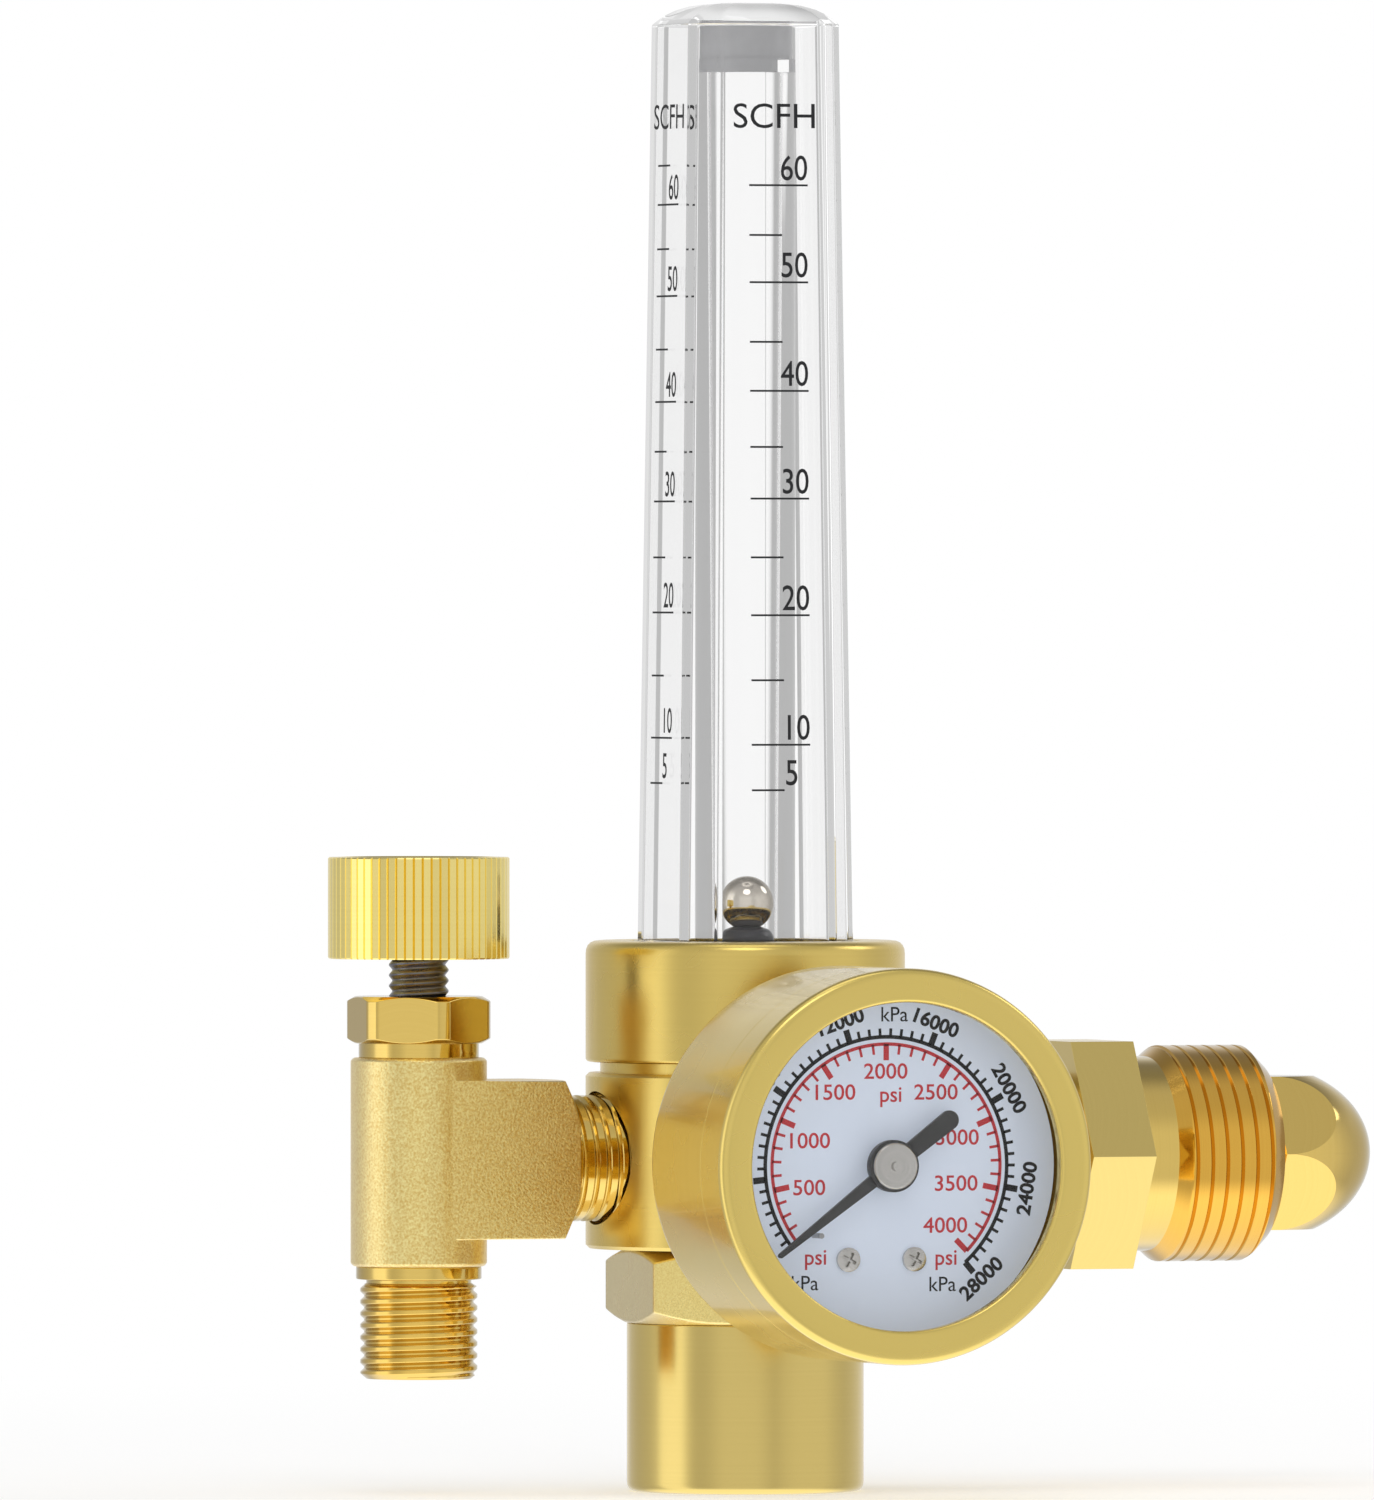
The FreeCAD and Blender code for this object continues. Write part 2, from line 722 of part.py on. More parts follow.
def make_cover_seal():
    """Seal ring at the foot of the cover."""
    return seal_ring(cover_spigot_radius + cover_cord_radius, cover_cord_radius,
                     recess_floor + cover_cord_radius)


# Pressure gauge

def make_bourdon_tube():
    """Flattened tube bent round the gauge's axis, closed at its free end."""
    inner = bourdon_radius - bourdon_depth / 2
    outer = bourdon_radius + bourdon_depth / 2
    high = bourdon_height + bourdon_width
    round_off = bourdon_depth / 2
    tube = turned([(inner, bourdon_height + round_off), (bourdon_radius, bourdon_height),
                   (outer, bourdon_height + round_off), (outer, high - round_off),
                   (bourdon_radius, high), (inner, high - round_off)], bourdon_sweep)
    tube.rotate(V(0, 0, 0), V(0, 0, 1), bourdon_start)
    return tube


def make_gauge_socket(bourdon):
    """Brass stem with its thread and wrench flats, and the block that holds the works."""
    neck_top = body_radius + stem_neck
    thread = rod(gauge_thread_radius, port_floor, neck_top)
    half = stem_flats / 2
    flats = prism([(-half, -half), (half, -half), (half, half), (-half, half)],
                  neck_top, gauge_back)
    flats = flats.common(rod(stem_corner_radius, neck_top, gauge_back))
    passage = rod(gauge_thread_radius, gauge_back, case_floor)
    block = prism([(-socket_half_width, -socket_lower), (socket_half_width, -socket_lower),
                   (socket_half_width, socket_upper), (-socket_half_width, socket_upper)],
                  case_floor, socket_top)
    solid = thread.fuse([flats, passage, block])
    for x in dial_screw_places():
        solid = solid.fuse(rod(lug_radius, socket_top, dial_back, x, -dial_screw_drop))
        hole_low = dial_front - dial_screw_length
        solid = solid.cut(rod(dial_screw_radius + thread_gap, hole_low, dial_back, x,
                              -dial_screw_drop))
    bore_top = bourdon_height + bourdon_width / 2
    bore = rod(gauge_bore_radius, port_floor, bore_top)
    cross = Part.makeCylinder(bourdon_depth / 2, bourdon_radius, V(0, 0, bore_top),
                              V(0, -1, 0))
    return cut_each(solid, [bourdon, bore, cross]).removeSplitter()


def make_gauge_case():
    """Cup of the gauge, stepped at its mouth for the bezel."""
    mouth = gauge_radius - gauge_wall
    step = gauge_front - bezel_skirt
    edge_middle = case_edge * (1 - math.cos(math.pi / 4))
    inside = case_inside_edge
    return turned([(gauge_thread_radius + thread_gap, gauge_back),
                   (gauge_radius - case_edge, gauge_back),
                   (gauge_radius - edge_middle, gauge_back + edge_middle),
                   (gauge_radius, gauge_back + case_edge), (gauge_radius, step),
                   (mouth, step), (mouth, case_front), (case_radius, case_front),
                   (case_radius, case_floor + inside), (case_radius - inside, case_floor),
                   (gauge_thread_radius + thread_gap, case_floor)])


def make_gauge_bezel():
    """Ring pressed over the case's mouth, flush with it, whose lip holds the lens."""
    inner = gauge_radius - gauge_wall
    step = gauge_front - bezel_skirt
    lip = gauge_front - bezel_lip
    return turned([(inner, step), (gauge_radius, step), (gauge_radius, gauge_front - bezel_edge),
                   (gauge_radius - bezel_edge, gauge_front),
                   (window_radius + window_bevel, gauge_front),
                   (window_radius, gauge_front - window_bevel), (window_radius, lip),
                   (inner, lip)])


def make_gauge_lens():
    """Flat clear lens between the case's mouth and the bezel's lip."""
    radius = gauge_radius - gauge_wall - thread_gap
    return rod(radius, case_front, case_front + lens_thickness)


def dial_screw_places():
    """Where the dial's two screws stand, across the dial."""
    return [dial_screw_shift + side * dial_screw_spread for side in (-1, 1)]


def stop_pin_place():
    """Where the pointer's stop pin stands on the dial."""
    angle = math.radians(stop_pin_angle)
    return stop_pin_distance * math.cos(angle), stop_pin_distance * math.sin(angle)


def make_gauge_dial():
    """Dial plate with holes for the arbor, its two screws and the stop pin."""
    x, y = stop_pin_place()
    solid = rod(dial_radius, dial_back, dial_front)
    solid = solid.cut(rod(dial_hole_radius, dial_back, dial_front))
    solid = solid.cut(rod(stop_pin_radius, dial_back, dial_front, x, y))
    for x in dial_screw_places():
        solid = solid.cut(rod(dial_screw_radius + thread_gap, dial_back, dial_front, x,
                              -dial_screw_drop))
    return solid


def make_dial_screws():
    """Two cross-recessed screws that hold the dial."""
    head_top = dial_front + dial_screw_head_height
    low = dial_front - dial_screw_length
    screws = []
    for x in dial_screw_places():
        screw = turned([(0, low), (dial_screw_radius, low), (dial_screw_radius, dial_front),
                        (dial_screw_head_radius, dial_front),
                        (dial_screw_head_radius, head_top - dial_screw_slot),
                        (dial_screw_head_radius - dial_screw_slot, head_top), (0, head_top)])
        length = 2 * dial_screw_radius
        for slot_x, slot_y in ((length, dial_screw_slot), (dial_screw_slot, length)):
            slot = Part.makeBox(slot_x, slot_y, dial_screw_slot,
                                V(-slot_x / 2, -slot_y / 2, head_top - dial_screw_slot))
            screw = screw.cut(slot)
        screw.translate(V(x, -dial_screw_drop, 0))
        screws.append(screw)
    return Part.makeCompound(screws)


def make_stop_pin():
    """Pin on which the pointer rests with no pressure."""
    x, y = stop_pin_place()
    return rod(stop_pin_radius, dial_back, dial_front + stop_pin_height, x, y)


def make_movement_frame():
    """Two plates on pillars that carry the pointer's arbor."""
    outline = [(-plate_half_width, -plate_lower), (plate_half_width, -plate_lower),
               (plate_half_width, plate_upper), (-plate_half_width, plate_upper)]
    upper_low = socket_top + plate_thickness + plate_spacing
    lower = prism(outline, socket_top, socket_top + plate_thickness)
    upper = prism(outline, upper_low, upper_low + plate_thickness)
    pillars = []
    for side in (-1, 1):
        for y in (pillar_inset - plate_lower, plate_upper - pillar_inset):
            pillars.append(rod(pillar_radius, socket_top + plate_thickness, upper_low,
                               side * (plate_half_width - pillar_inset), y))
    bearing = rod(arbor_radius + running_gap, socket_top, upper_low + plate_thickness)
    return lower.fuse([upper] + pillars).cut(bearing)


# Pointer

def arm(reach, root_width, tip_width):
    """A flat tapering arm with a round end, lying along +X."""
    end = reach - tip_width / 2
    low = pointer_back
    high = pointer_back + pointer_thickness
    blade = prism([(0, -root_width / 2), (end, -tip_width / 2), (end, tip_width / 2),
                   (0, root_width / 2)], low, high)
    return blade.fuse(rod(tip_width / 2, low, high, end, 0))


def make_pointer():
    """Black pointer with its counterweight tail and boss, in its rest position."""
    tip = arm(pointer_reach, pointer_root_width, pointer_tip_width)
    tail = arm(tail_reach, tail_root_width, tail_tip_width)
    tail.rotate(V(0, 0, 0), V(0, 0, 1), 180)
    boss = rod(pointer_boss_radius, pointer_back, pointer_back + pointer_boss_height)
    solid = boss.fuse([tip, tail])
    solid = solid.cut(rod(arbor_radius, pointer_back, pointer_back + pointer_boss_height))
    solid = solid.removeSplitter()
    solid.rotate(V(0, 0, 0), V(0, 0, 1), pointer_angle)
    return solid


def make_pointer_bush():
    """Bright bush that clamps the pointer to the arbor."""
    low = pointer_back + pointer_boss_height
    high = low + bush_height
    return turned([(arbor_radius, low), (bush_radius, low), (bush_radius, high - bush_edge),
                   (bush_radius - bush_edge, high), (arbor_radius, high)])


def make_pointer_arbor():
    """Thin shaft that carries the pointer."""
    high = pointer_back + pointer_boss_height + bush_height
    return rod(arbor_radius, socket_top + arbor_end_play, high - bush_edge)


# Outlet valve

def make_valve_body():
    """Cast tee: upright barrel, side branch with a turned-off end, and the valve bores."""
    edge = valve_edge
    barrel = turned([(0, valve_low), (valve_radius - edge, valve_low),
                     (valve_radius, valve_low + edge), (valve_radius, valve_high - edge),
                     (valve_radius - edge, valve_high), (0, valve_high)])
    length = valve_offset - branch_end
    branch = Part.makeBox(length, branch_depth, branch_height,
                          V(0, -branch_depth / 2, port_height - branch_height / 2))
    far_corner = math.hypot(branch_height, branch_depth) / 2
    drop = (far_corner - branch_cone_radius) * math.tan(math.radians(hex_bevel_angle))
    blank = turned([(0, branch_end), (branch_cone_radius, branch_end),
                    (far_corner, branch_end + drop), (far_corner, valve_offset),
                    (0, valve_offset)])
    blank = to_outlet(blank)
    solid = at_valve(branch).common(blank).fuse(at_valve(barrel)).removeSplitter()

    spigot_end = branch_end + side_spigot_length
    adapter_top = valve_low + outlet_spigot_height
    side_socket = to_outlet(rod(side_spigot_radius + thread_gap, branch_end, spigot_end))
    side_bore = to_outlet(rod(valve_bore_radius, spigot_end, valve_offset))
    gland = at_valve(rod(gland_radius + thread_gap, gland_floor, valve_high))
    chamber = at_valve(rod(valve_chamber_radius, valve_chamber_low, gland_floor))
    orifice = at_valve(rod(orifice_radius, adapter_top, valve_chamber_low))
    adapter = at_valve(rod(outlet_spigot_radius + thread_gap, valve_low, adapter_top))
    return cut_each(solid, [side_socket, side_bore, gland, chamber, orifice, adapter])


def make_side_nipple():
    """Threaded nipple that joins the valve to the regulator body."""
    spigot_end = branch_end + side_spigot_length
    solid = turned([(valve_bore_radius, port_floor), (side_thread_radius, port_floor),
                    (side_thread_radius, branch_end), (side_spigot_radius, branch_end),
                    (side_spigot_radius, spigot_end), (valve_bore_radius, spigot_end)])
    return to_outlet(solid)


def make_outlet_adapter():
    """Male outlet: screwed spigot, shoulder, thread relief and hose thread."""
    spigot_top = valve_low + outlet_spigot_height
    shoulder_low = valve_low - outlet_shoulder_height
    thread_top = shoulder_low - outlet_relief_height
    solid = turned([(valve_bore_radius, outlet_low),
                    (outlet_thread_radius - outlet_edge, outlet_low),
                    (outlet_thread_radius, outlet_low + outlet_edge),
                    (outlet_thread_radius, thread_top), (outlet_relief_radius, thread_top),
                    (outlet_relief_radius, shoulder_low),
                    (outlet_shoulder_radius, shoulder_low),
                    (outlet_shoulder_radius, valve_low), (outlet_spigot_radius, valve_low),
                    (outlet_spigot_radius, spigot_top), (valve_bore_radius, spigot_top)])
    return at_valve(solid)


def make_packing_ring():
    """Packing that seals the stem under the nut."""
    return at_valve(ring(gland_radius, stem_rod_radius + running_gap, gland_floor, nut_low))


def make_packing_nut():
    """Gland nut: screwed skirt, neck and hexagon, threaded for the stem."""
    skirt = rod(gland_radius, nut_low, valve_high)
    neck = rod(nut_neck_radius, valve_high, nut_hex_low)
    head = hexagon(nut_flats, nut_corner_radius, nut_hex_low, nut_hex_low + nut_height, -90)
    bore = rod(stem_thread_radius + nut_gap, nut_low, nut_hex_low + nut_height)
    return at_valve(skirt.fuse([neck, head]).cut(bore).removeSplitter())


def make_valve_stem():
    """Threaded stem with a plain lower end that turns on the needle's shank."""
    stem_top = knob_low + knob_bore_depth
    stem = turned([(0, stem_low), (stem_rod_radius, stem_low),
                   (stem_rod_radius, stem_thread_low), (stem_thread_radius, stem_thread_low),
                   (stem_thread_radius, stem_top), (0, stem_top)])
    return at_valve(stem.cut(rod(stem_socket_radius, stem_low, stem_low + stem_socket_depth)))


def make_valve_needle():
    """Needle that rises and falls with the stem but doesn't turn on its seat."""
    closed_tip = valve_chamber_low - (orifice_radius - running_gap
                                      - needle_tip_radius) / needle_slope
    tip = closed_tip + stem_thread_pitch
    cone_top = tip + (needle_radius - needle_tip_radius) / needle_slope
    collar_high = stem_low - running_gap
    shank_high = stem_low + stem_socket_depth - running_gap
    return at_valve(turned([(0, tip), (needle_tip_radius, tip), (needle_radius, cone_top),
                            (needle_radius, collar_high), (needle_shank_radius, collar_high),
                            (needle_shank_radius, shank_high), (0, shank_high)]))


def make_valve_knob():
    """Knob with straight flutes all round and a blind bore for the stem."""
    high = knob_low + knob_height
    step = 2 * math.pi / knob_flutes
    gap = (1 - knob_crest_share) / 2 * step
    root = knob_radius - knob_flute_depth
    outline = []
    for flute in range(knob_flutes):
        for part, radius in ((0, root), (gap, knob_radius), (step - gap, knob_radius)):
            angle = flute * step + part
            outline.append((radius * math.cos(angle), radius * math.sin(angle)))
    solid = prism(outline, knob_low, high)
    edge = knob_edge
    blank = turned([(0, knob_low), (knob_radius - edge, knob_low),
                    (knob_radius, knob_low + edge), (knob_radius, high - edge),
                    (knob_radius - edge, high), (0, high)])
    bore = rod(stem_thread_radius, knob_low, knob_low + knob_bore_depth)
    return at_valve(solid.common(blank).cut(bore))


def main():
    """Build every piece and write each to its own file."""
    bourdon = make_bourdon_tube()
    pieces = {
        "bonnet": make_bonnet(),
        "bonnet_seal": make_bonnet_seal(),
        "range_spring": make_range_spring(),
        "piston": make_piston(),
        "piston_seal": make_piston_seal(),
        "nozzle": make_nozzle(),
        "poppet": make_poppet(),
        "poppet_spring": make_poppet_spring(),
        "regulator_body": make_regulator_body(),
        "inlet_filter": make_inlet_filter(),
        "inlet_nipple": make_inlet_nipple(),
        "inlet_nut": make_inlet_nut(),
        "tube_collar": make_tube_collar(),
        "collar_gasket": make_collar_gasket(),
        "tube_seal": make_tube_seal(),
        "flow_tube": make_flow_tube(),
        "ball_seat": make_ball_seat(),
        "flow_ball": make_flow_ball(),
        "tube_cap": make_tube_cap(),
        "tube_cover": make_tube_cover(),
        "cover_seal": make_cover_seal(),
        "bourdon_tube": to_gauge(bourdon),
        "gauge_socket": to_gauge(make_gauge_socket(bourdon)),
        "gauge_case": to_gauge(make_gauge_case()),
        "gauge_bezel": to_gauge(make_gauge_bezel()),
        "gauge_lens": to_gauge(make_gauge_lens()),
        "gauge_dial": to_gauge(make_gauge_dial()),
        "dial_screws": to_gauge(make_dial_screws()),
        "stop_pin": to_gauge(make_stop_pin()),
        "movement_frame": to_gauge(make_movement_frame()),
        "pointer": to_gauge(make_pointer()),
        "pointer_bush": to_gauge(make_pointer_bush()),
        "pointer_arbor": to_gauge(make_pointer_arbor()),
        "valve_body": make_valve_body(),
        "side_nipple": make_side_nipple(),
        "outlet_adapter": make_outlet_adapter(),
        "packing_ring": make_packing_ring(),
        "packing_nut": make_packing_nut(),
        "valve_stem": make_valve_stem(),
        "valve_needle": make_valve_needle(),
        "valve_knob": make_valve_knob(),
    }
    os.makedirs("parts", exist_ok=True)
    for name, shape in pieces.items():
        shape.exportStep(os.path.join("parts", name + ".step"))
        print(name, len(shape.Solids), round(shape.Volume, 2), shape.isValid())


main()
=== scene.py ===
"""Looks of the argon flowmeter regulator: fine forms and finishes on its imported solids.

Sizes are in millimetres until a mesh is made. The frame's origin is the middle of the
bonnet's flat end, +Z runs up the flow tube, the gauge looks towards -Y, the cylinder inlet
points to +X and the outlet valve stands at -X.
"""

import json
import logging
import math
from collections.abc import Sequence
from dataclasses import dataclass, field, replace
from enum import Enum

import bmesh
import bpy
import numpy as np
from mathutils import Matrix, Vector

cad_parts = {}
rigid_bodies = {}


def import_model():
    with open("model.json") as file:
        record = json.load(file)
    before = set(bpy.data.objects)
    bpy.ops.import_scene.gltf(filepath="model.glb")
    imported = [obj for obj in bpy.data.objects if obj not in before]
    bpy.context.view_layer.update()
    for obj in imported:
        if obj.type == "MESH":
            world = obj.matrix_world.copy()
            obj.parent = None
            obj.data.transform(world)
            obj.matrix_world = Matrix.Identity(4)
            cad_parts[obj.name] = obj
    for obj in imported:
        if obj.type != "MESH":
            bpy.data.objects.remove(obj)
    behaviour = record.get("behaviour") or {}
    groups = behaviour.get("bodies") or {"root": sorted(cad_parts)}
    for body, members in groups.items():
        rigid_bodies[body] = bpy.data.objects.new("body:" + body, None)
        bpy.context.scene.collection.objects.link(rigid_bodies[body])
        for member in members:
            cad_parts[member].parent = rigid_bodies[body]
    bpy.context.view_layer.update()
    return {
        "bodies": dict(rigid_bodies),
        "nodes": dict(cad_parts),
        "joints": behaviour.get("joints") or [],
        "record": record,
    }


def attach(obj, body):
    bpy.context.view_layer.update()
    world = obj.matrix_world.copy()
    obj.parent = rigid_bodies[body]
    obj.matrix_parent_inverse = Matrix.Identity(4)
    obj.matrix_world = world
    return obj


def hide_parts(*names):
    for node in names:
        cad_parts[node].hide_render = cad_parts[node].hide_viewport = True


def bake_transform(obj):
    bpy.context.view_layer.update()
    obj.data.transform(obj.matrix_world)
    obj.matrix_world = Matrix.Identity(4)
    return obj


log = logging.getLogger("regulator")

MM = 0.001
COLUMNS = 192            # points round a turned piece
PORT_HEIGHT = 37.66      # of the gauge's, inlet's and outlet's axis
VALVE_OFFSET = 39.0      # of the valve's axis from the tube's
HEX_BEVEL = math.radians(30)    # slope of the cone that turns off a hexagon's corners
HEX_TURNED = 0.97        # share of the flats' half width that is left at a hexagon's ends
HEX_EASE = 0.02          # by which a square end face stays inside the sides
INK = 0.02               # thickness of print
MESH_WELD = 2e-7         # metres within which points of a new mesh are made one
SOLID_WELD = 1e-6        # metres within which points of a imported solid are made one
LETTER_WELD = 0.004      # share of the font's size within which a letter's corners are one
SOFTEN_ABOVE = 24.0      # degrees from which an edge of a new piece is bevelled
SHARP_ABOVE = 28.0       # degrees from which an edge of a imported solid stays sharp
WHITE = (1.0, 1.0, 1.0, 1.0)
NOISE_SPAN = {"From Min": 0.3, "From Max": 0.7}    # where most of a noise's values lie

Corner = tuple[float, float, float]


# Places

@dataclass(frozen=True)
class Seat:
    """A turning axis of the regulator.

    Rows are the directions in the frame of the seat's own x, y and height.
    """

    name: str
    origin: tuple[float, float, float]
    rows: tuple[tuple[float, float, float], ...] = ((1, 0, 0), (0, 1, 0), (0, 0, 1))

    def place(self, points: np.ndarray) -> np.ndarray:
        """Points of the seat as points of the frame: own directions times points plus origin."""
        return points @ np.array(self.rows, float) + np.array(self.origin, float)

    def matrix(self) -> Matrix:
        """The same move as a matrix in metres."""
        turn = Matrix(self.rows).transposed().to_4x4()
        return Matrix.Translation(Vector(self.origin) * MM) @ turn


TUBE = Seat("tube", (0, 0, 0))
VALVE = Seat("valve", (-VALVE_OFFSET, 0, 0))
GAUGE = Seat("gauge", (0, 0, PORT_HEIGHT), ((1, 0, 0), (0, 0, 1), (0, -1, 0)))
INLET = Seat("inlet", (0, 0, PORT_HEIGHT), ((0, 1, 0), (0, 0, 1), (1, 0, 0)))
SIDE = Seat("side", (0, 0, PORT_HEIGHT), ((0, -1, 0), (0, 0, 1), (-1, 0, 0)))


# Nodes of a material

def srgb(code: str) -> tuple[float, float, float, float]:
    """The linear colour of an sRGB hex code.

    Args:
        code: six hex digits, such as "D5BB73".

    Returns:
        Red, green, blue and alpha.
    """
    parts = [int(code[i:i + 2], 16) / 255 for i in (0, 2, 4)]
    linear = [p / 12.92 if p <= 0.04045 else ((p + 0.055) / 1.055) ** 2.4 for p in parts]
    return (*linear, 1.0)


def grey(tone: float) -> tuple[float, float, float, float]:
    """The linear colour of a grey tone."""
    return (tone, tone, tone, 1.0)


def feed(tree: bpy.types.NodeTree, node: bpy.types.Node,
         inputs: dict[str | int, object]) -> None:
    """Gives a node's sockets their values and links.

    Args:
        tree: the material's or world's node tree.
        node: the node.
        inputs: its sockets by name or number, each a value or the socket that feeds it.
    """
    for name, value in inputs.items():
        if isinstance(value, bpy.types.NodeSocket):
            tree.links.new(value, node.inputs[name])
        else:
            node.inputs[name].default_value = value


def add_node(tree: bpy.types.NodeTree, kind: str, settings: dict[str, object] | None = None,
             inputs: dict[str | int, object] | None = None) -> bpy.types.Node:
    """Adds a node with its settings and links.

    Args:
        tree: the material's or world's node tree.
        kind: the node's type.
        settings: its properties by name.
        inputs: its sockets, as feed takes them.

    Returns:
        The new node.
    """
    made = tree.nodes.new(kind)
    for name, value in (settings or {}).items():
        setattr(made, name, value)
    feed(tree, made, inputs or {})
    return made


class Lay(Enum):
    """How the fine texture of a surface runs."""

    TURNED = "rings left by the turning tool"
    GRAIN = "round grains of blasting or moulding"


@dataclass(frozen=True)
class Finish:
    """A material of the regulator and how its surface was made."""

    name: str
    slot: str
    colour: str
    deep: str                 # colour of the texture's low places
    roughness: float
    metallic: float = 1.0
    lay: Lay = Lay.TURNED
    spacing: float = 0.3      # of rings or grains
    depth: float = 0.003
    speckle: float = 0.3      # how far grains and rings reach towards the deep colour
    patch: float = 9.0        # size of the slow changes of tone
    unevenness: float = 0.04  # of the roughness over a patch
    coat: float = 0.0
    coat_roughness: float = 0.06
    rim: str = ""             # painted outline light: a set tone at the outline, painted shade where darker, painted sheen where paler
    rim_reach: float = 0.32   # how far from the outline that painted tone reaches
    top: str = ""             # painted highlight: paler colour of faces that look up, where given
    glow: float = 0.0         # painted light: emission that lifts pale paint behind a window out of its shade

    def material(self, seat: Seat = TUBE) -> bpy.types.Material:
        """The finish on a seat's axis, made once.

        Args:
            seat: the axis that turning rings run about.

        Returns:
            The material.
        """
        name = f"{self.name}_{seat.name}" if self.lay is Lay.TURNED else self.name
        return bpy.data.materials.get(name) or self.build(name, seat)

    def build(self, name: str, seat: Seat) -> bpy.types.Material:
        """Makes the material: a fine texture for bump and tone, slow patches for roughness, and
        the painted light that a finish asks for.

        Args:
            name: the material's name.
            seat: the axis that turning rings run about.

        Returns:
            The material.
        """
        made = bpy.data.materials.new(name)
        made.use_nodes = True
        tree = made.node_tree
        shader = tree.nodes["Principled BSDF"]
        place = add_node(tree, "ShaderNodeTexCoord").outputs["Object"]
        if self.lay is Lay.TURNED:
            texture = self.rings(tree, place, seat)
        else:
            texture = add_node(tree, "ShaderNodeTexNoise", {}, {
                "Vector": place, "Scale": 1 / (self.spacing * MM), "Detail": 2.0,
                "Roughness": 0.55}).outputs["Fac"]
        patches = add_node(tree, "ShaderNodeTexNoise", {}, {
            "Vector": place, "Scale": 1 / (self.patch * MM), "Detail": 2.0}).outputs["Fac"]
        tone = add_node(tree, "ShaderNodeMapRange", {}, {
            "Value": texture, **NOISE_SPAN, "To Min": self.speckle,
            "To Max": 0.0}).outputs["Result"]
        colour = add_node(tree, "ShaderNodeMix", {"data_type": "RGBA"}, {
            0: tone, 6: srgb(self.colour), 7: srgb(self.deep)}).outputs[2]
        # painted light: Layer Weight turns the colour towards a set tone at the outline, a
        # painted shade where that tone is darker and a painted sheen where it is paler
        if self.rim:
            facing = add_node(tree, "ShaderNodeLayerWeight", {}, {"Blend": self.rim_reach})
            colour = add_node(tree, "ShaderNodeMix", {"data_type": "RGBA"}, {
                0: facing.outputs["Facing"], 6: colour, 7: srgb(self.rim)}).outputs[2]
        # painted highlight: faces that look up turn towards a paler colour by their normal's
        # upward part
        if self.top:
            normal = add_node(tree, "ShaderNodeNewGeometry").outputs["Normal"]
            up = add_node(tree, "ShaderNodeVectorMath", {"operation": "DOT_PRODUCT"},
                          {0: normal, 1: (0.0, 0.0, 1.0)}).outputs["Value"]
            colour = add_node(tree, "ShaderNodeMix", {"data_type": "RGBA"}, {
                0: up, 6: colour, 7: srgb(self.top)}).outputs[2]
        rough = add_node(tree, "ShaderNodeMapRange", {}, {
            "Value": patches, **NOISE_SPAN, "To Min": self.roughness - self.unevenness,
            "To Max": self.roughness + self.unevenness}).outputs["Result"]
        bump = add_node(tree, "ShaderNodeBump", {}, {
            "Height": texture, "Distance": self.depth * MM, "Strength": 1.0})
        # Emission in the finish's own colour is painted light that lifts pale paint out of the
        # shade behind a window.
        feed(tree, shader, {
            "Base Color": colour, "Roughness": rough, "Normal": bump.outputs["Normal"],
            "Metallic": self.metallic, "Coat Weight": self.coat,
            "Coat Roughness": self.coat_roughness, "Emission Color": srgb(self.colour),
            "Emission Strength": self.glow})
        return made

    def rings(self, tree: bpy.types.NodeTree, place: bpy.types.NodeSocket,
              seat: Seat) -> bpy.types.NodeSocket:
        """Noise over height along the axis plus distance from it: rings on sides and ends.

        Args:
            tree: the material's node tree.
            place: the object coordinates.
            seat: the axis.

        Returns:
            The noise's socket.
        """
        axis = tuple(float(part) for part in seat.rows[2])
        origin = tuple(part * MM for part in seat.origin)
        offset = add_node(tree, "ShaderNodeVectorMath", {"operation": "SUBTRACT"},
                          {0: place, 1: origin}).outputs["Vector"]
        height = add_node(tree, "ShaderNodeVectorMath", {"operation": "DOT_PRODUCT"},
                          {0: offset, 1: axis}).outputs["Value"]
        along = add_node(tree, "ShaderNodeVectorMath", {"operation": "PROJECT"},
                         {0: offset, 1: axis}).outputs["Vector"]
        across = add_node(tree, "ShaderNodeVectorMath", {"operation": "SUBTRACT"},
                          {0: offset, 1: along}).outputs["Vector"]
        radius = add_node(tree, "ShaderNodeVectorMath", {"operation": "LENGTH"},
                          {0: across}).outputs["Value"]
        path = add_node(tree, "ShaderNodeMath", {"operation": "ADD"},
                        {0: height, 1: radius}).outputs["Value"]
        return add_node(tree, "ShaderNodeTexNoise", {"noise_dimensions": "1D"}, {
            "W": path, "Scale": 1 / (self.spacing * MM), "Detail": 1.0}).outputs["Fac"]


